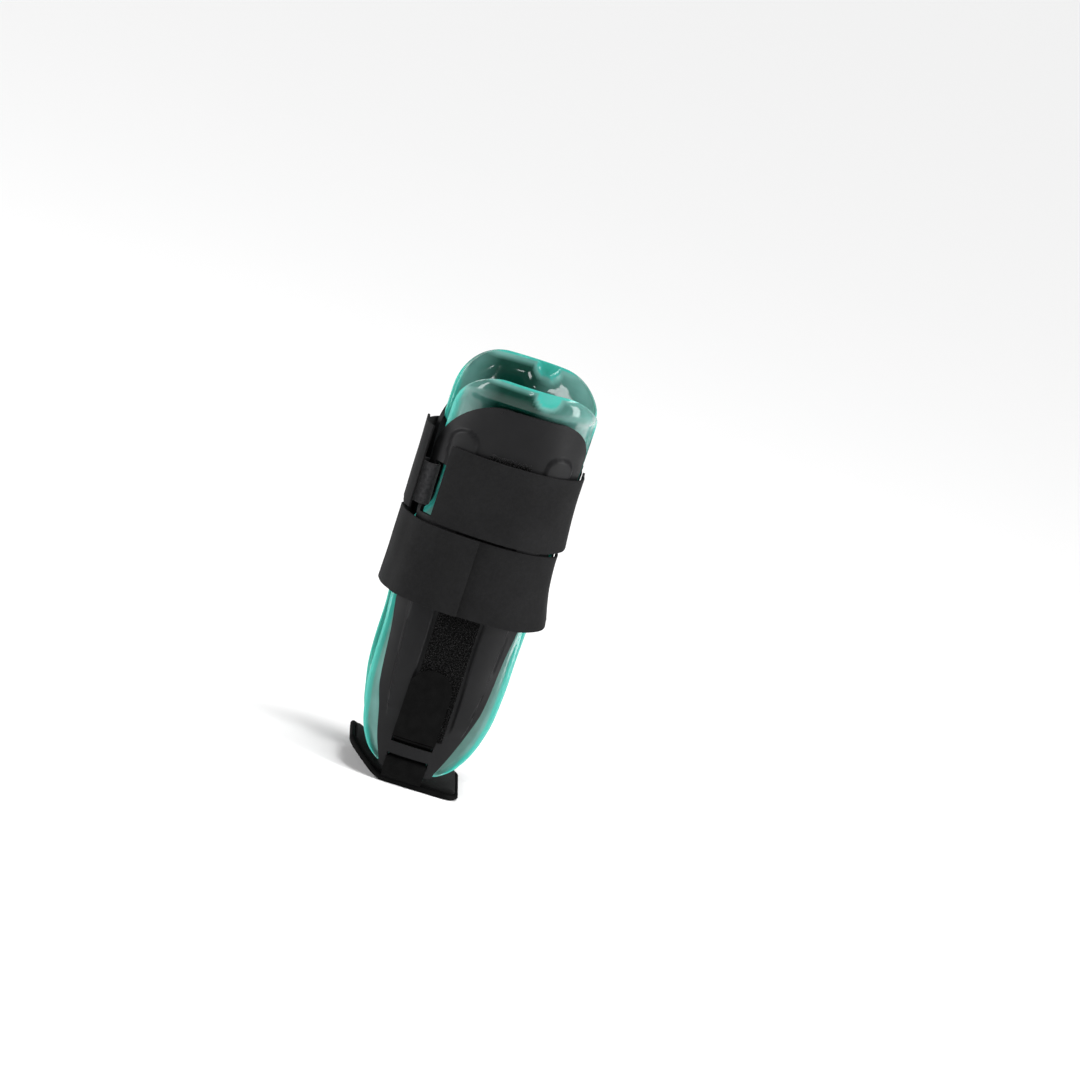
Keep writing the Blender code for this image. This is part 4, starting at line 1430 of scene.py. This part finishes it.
def make_world():
    """White behind the brace, and a softer light round it."""
    world = bpy.data.worlds.new("studio")
    bpy.context.scene.world = world
    world.use_nodes = True
    nodes, links = world.node_tree.nodes, world.node_tree.links
    seen = nodes.new("ShaderNodeBackground")
    seen.inputs["Color"].default_value = (1, 1, 1, 1)
    seen.inputs["Strength"].default_value = 1.1
    lit = nodes["Background"]
    lit.inputs["Color"].default_value = (1, 1, 1, 1)
    lit.inputs["Strength"].default_value = 0.19
    path = nodes.new("ShaderNodeLightPath")
    mixer = nodes.new("ShaderNodeMixShader")
    links.new(path.outputs["Is Camera Ray"], mixer.inputs["Fac"])
    links.new(lit.outputs["Background"], mixer.inputs[1])
    links.new(seen.outputs["Background"], mixer.inputs[2])
    links.new(mixer.outputs["Shader"], nodes["World Output"].inputs["Surface"])


def add_softbox(name, place, size, power):
    """A soft lamp that faces the brace and doesn't show in the picture."""
    light = bpy.data.lights.new(name, "AREA")
    light.shape = "RECTANGLE"
    light.size, light.size_y = size
    light.energy = power
    lamp = link(name, light)
    lamp.location = place
    lamp.visible_camera = False
    lamp.rotation_euler = (AIM - Vector(place)).to_track_quat("-Z", "Y").to_euler()


def make_camera():
    """Looks at the outer side from a little above and behind, leaning so that the brace tilts forwards."""
    turn, lift, roll = (math.radians(angle) for angle in (CAMERA_TURN, CAMERA_LIFT, CAMERA_ROLL))
    back = Vector((math.sin(turn) * math.cos(lift), -math.cos(turn) * math.cos(lift), math.sin(lift)))
    level = Vector((math.cos(turn), math.sin(turn), 0))
    upright = back.cross(level)
    right = level * math.cos(roll) + upright * math.sin(roll)
    up = upright * math.cos(roll) - level * math.sin(roll)
    camera = link("camera", bpy.data.cameras.new("camera"))
    camera.data.lens = CAMERA_LENS
    turned = Matrix((right, up, back)).transposed().to_4x4()
    camera.matrix_world = Matrix.Translation(AIM + back * CAMERA_DISTANCE) @ turned
    bpy.context.scene.camera = camera


def add_overhead():
    """An even light from above, which whitens the floor all the way back and doesn't glint."""
    light = bpy.data.lights.new("overhead", "SUN")
    light.energy = OVERHEAD_STRENGTH
    light.angle = math.radians(OVERHEAD_SPREAD)
    lamp = link("overhead", light)
    lamp.rotation_euler = [math.radians(angle) for angle in OVERHEAD_TILT]
    lamp.visible_glossy = False


def make_lights():
    add_overhead()
    for name, settings in SOFTBOXES.items():
        add_softbox(name, **settings)


def main():
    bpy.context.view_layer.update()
    for side_name, side in SIDES.items():
        make_shell(side_name, side)
        make_gel_pad(side_name, side)
        make_shell_lining(side_name, side)
        make_loop_strip(side_name, side)
        make_heel_strap(side_name, side)
        make_heel_tab(side_name, side)
    make_heel_strap_base()
    make_heel_pad()
    make_straps()
    make_stage()
    make_world()
    make_lights()
    make_camera()
    bpy.context.scene.view_settings.view_transform = "Standard"


main()
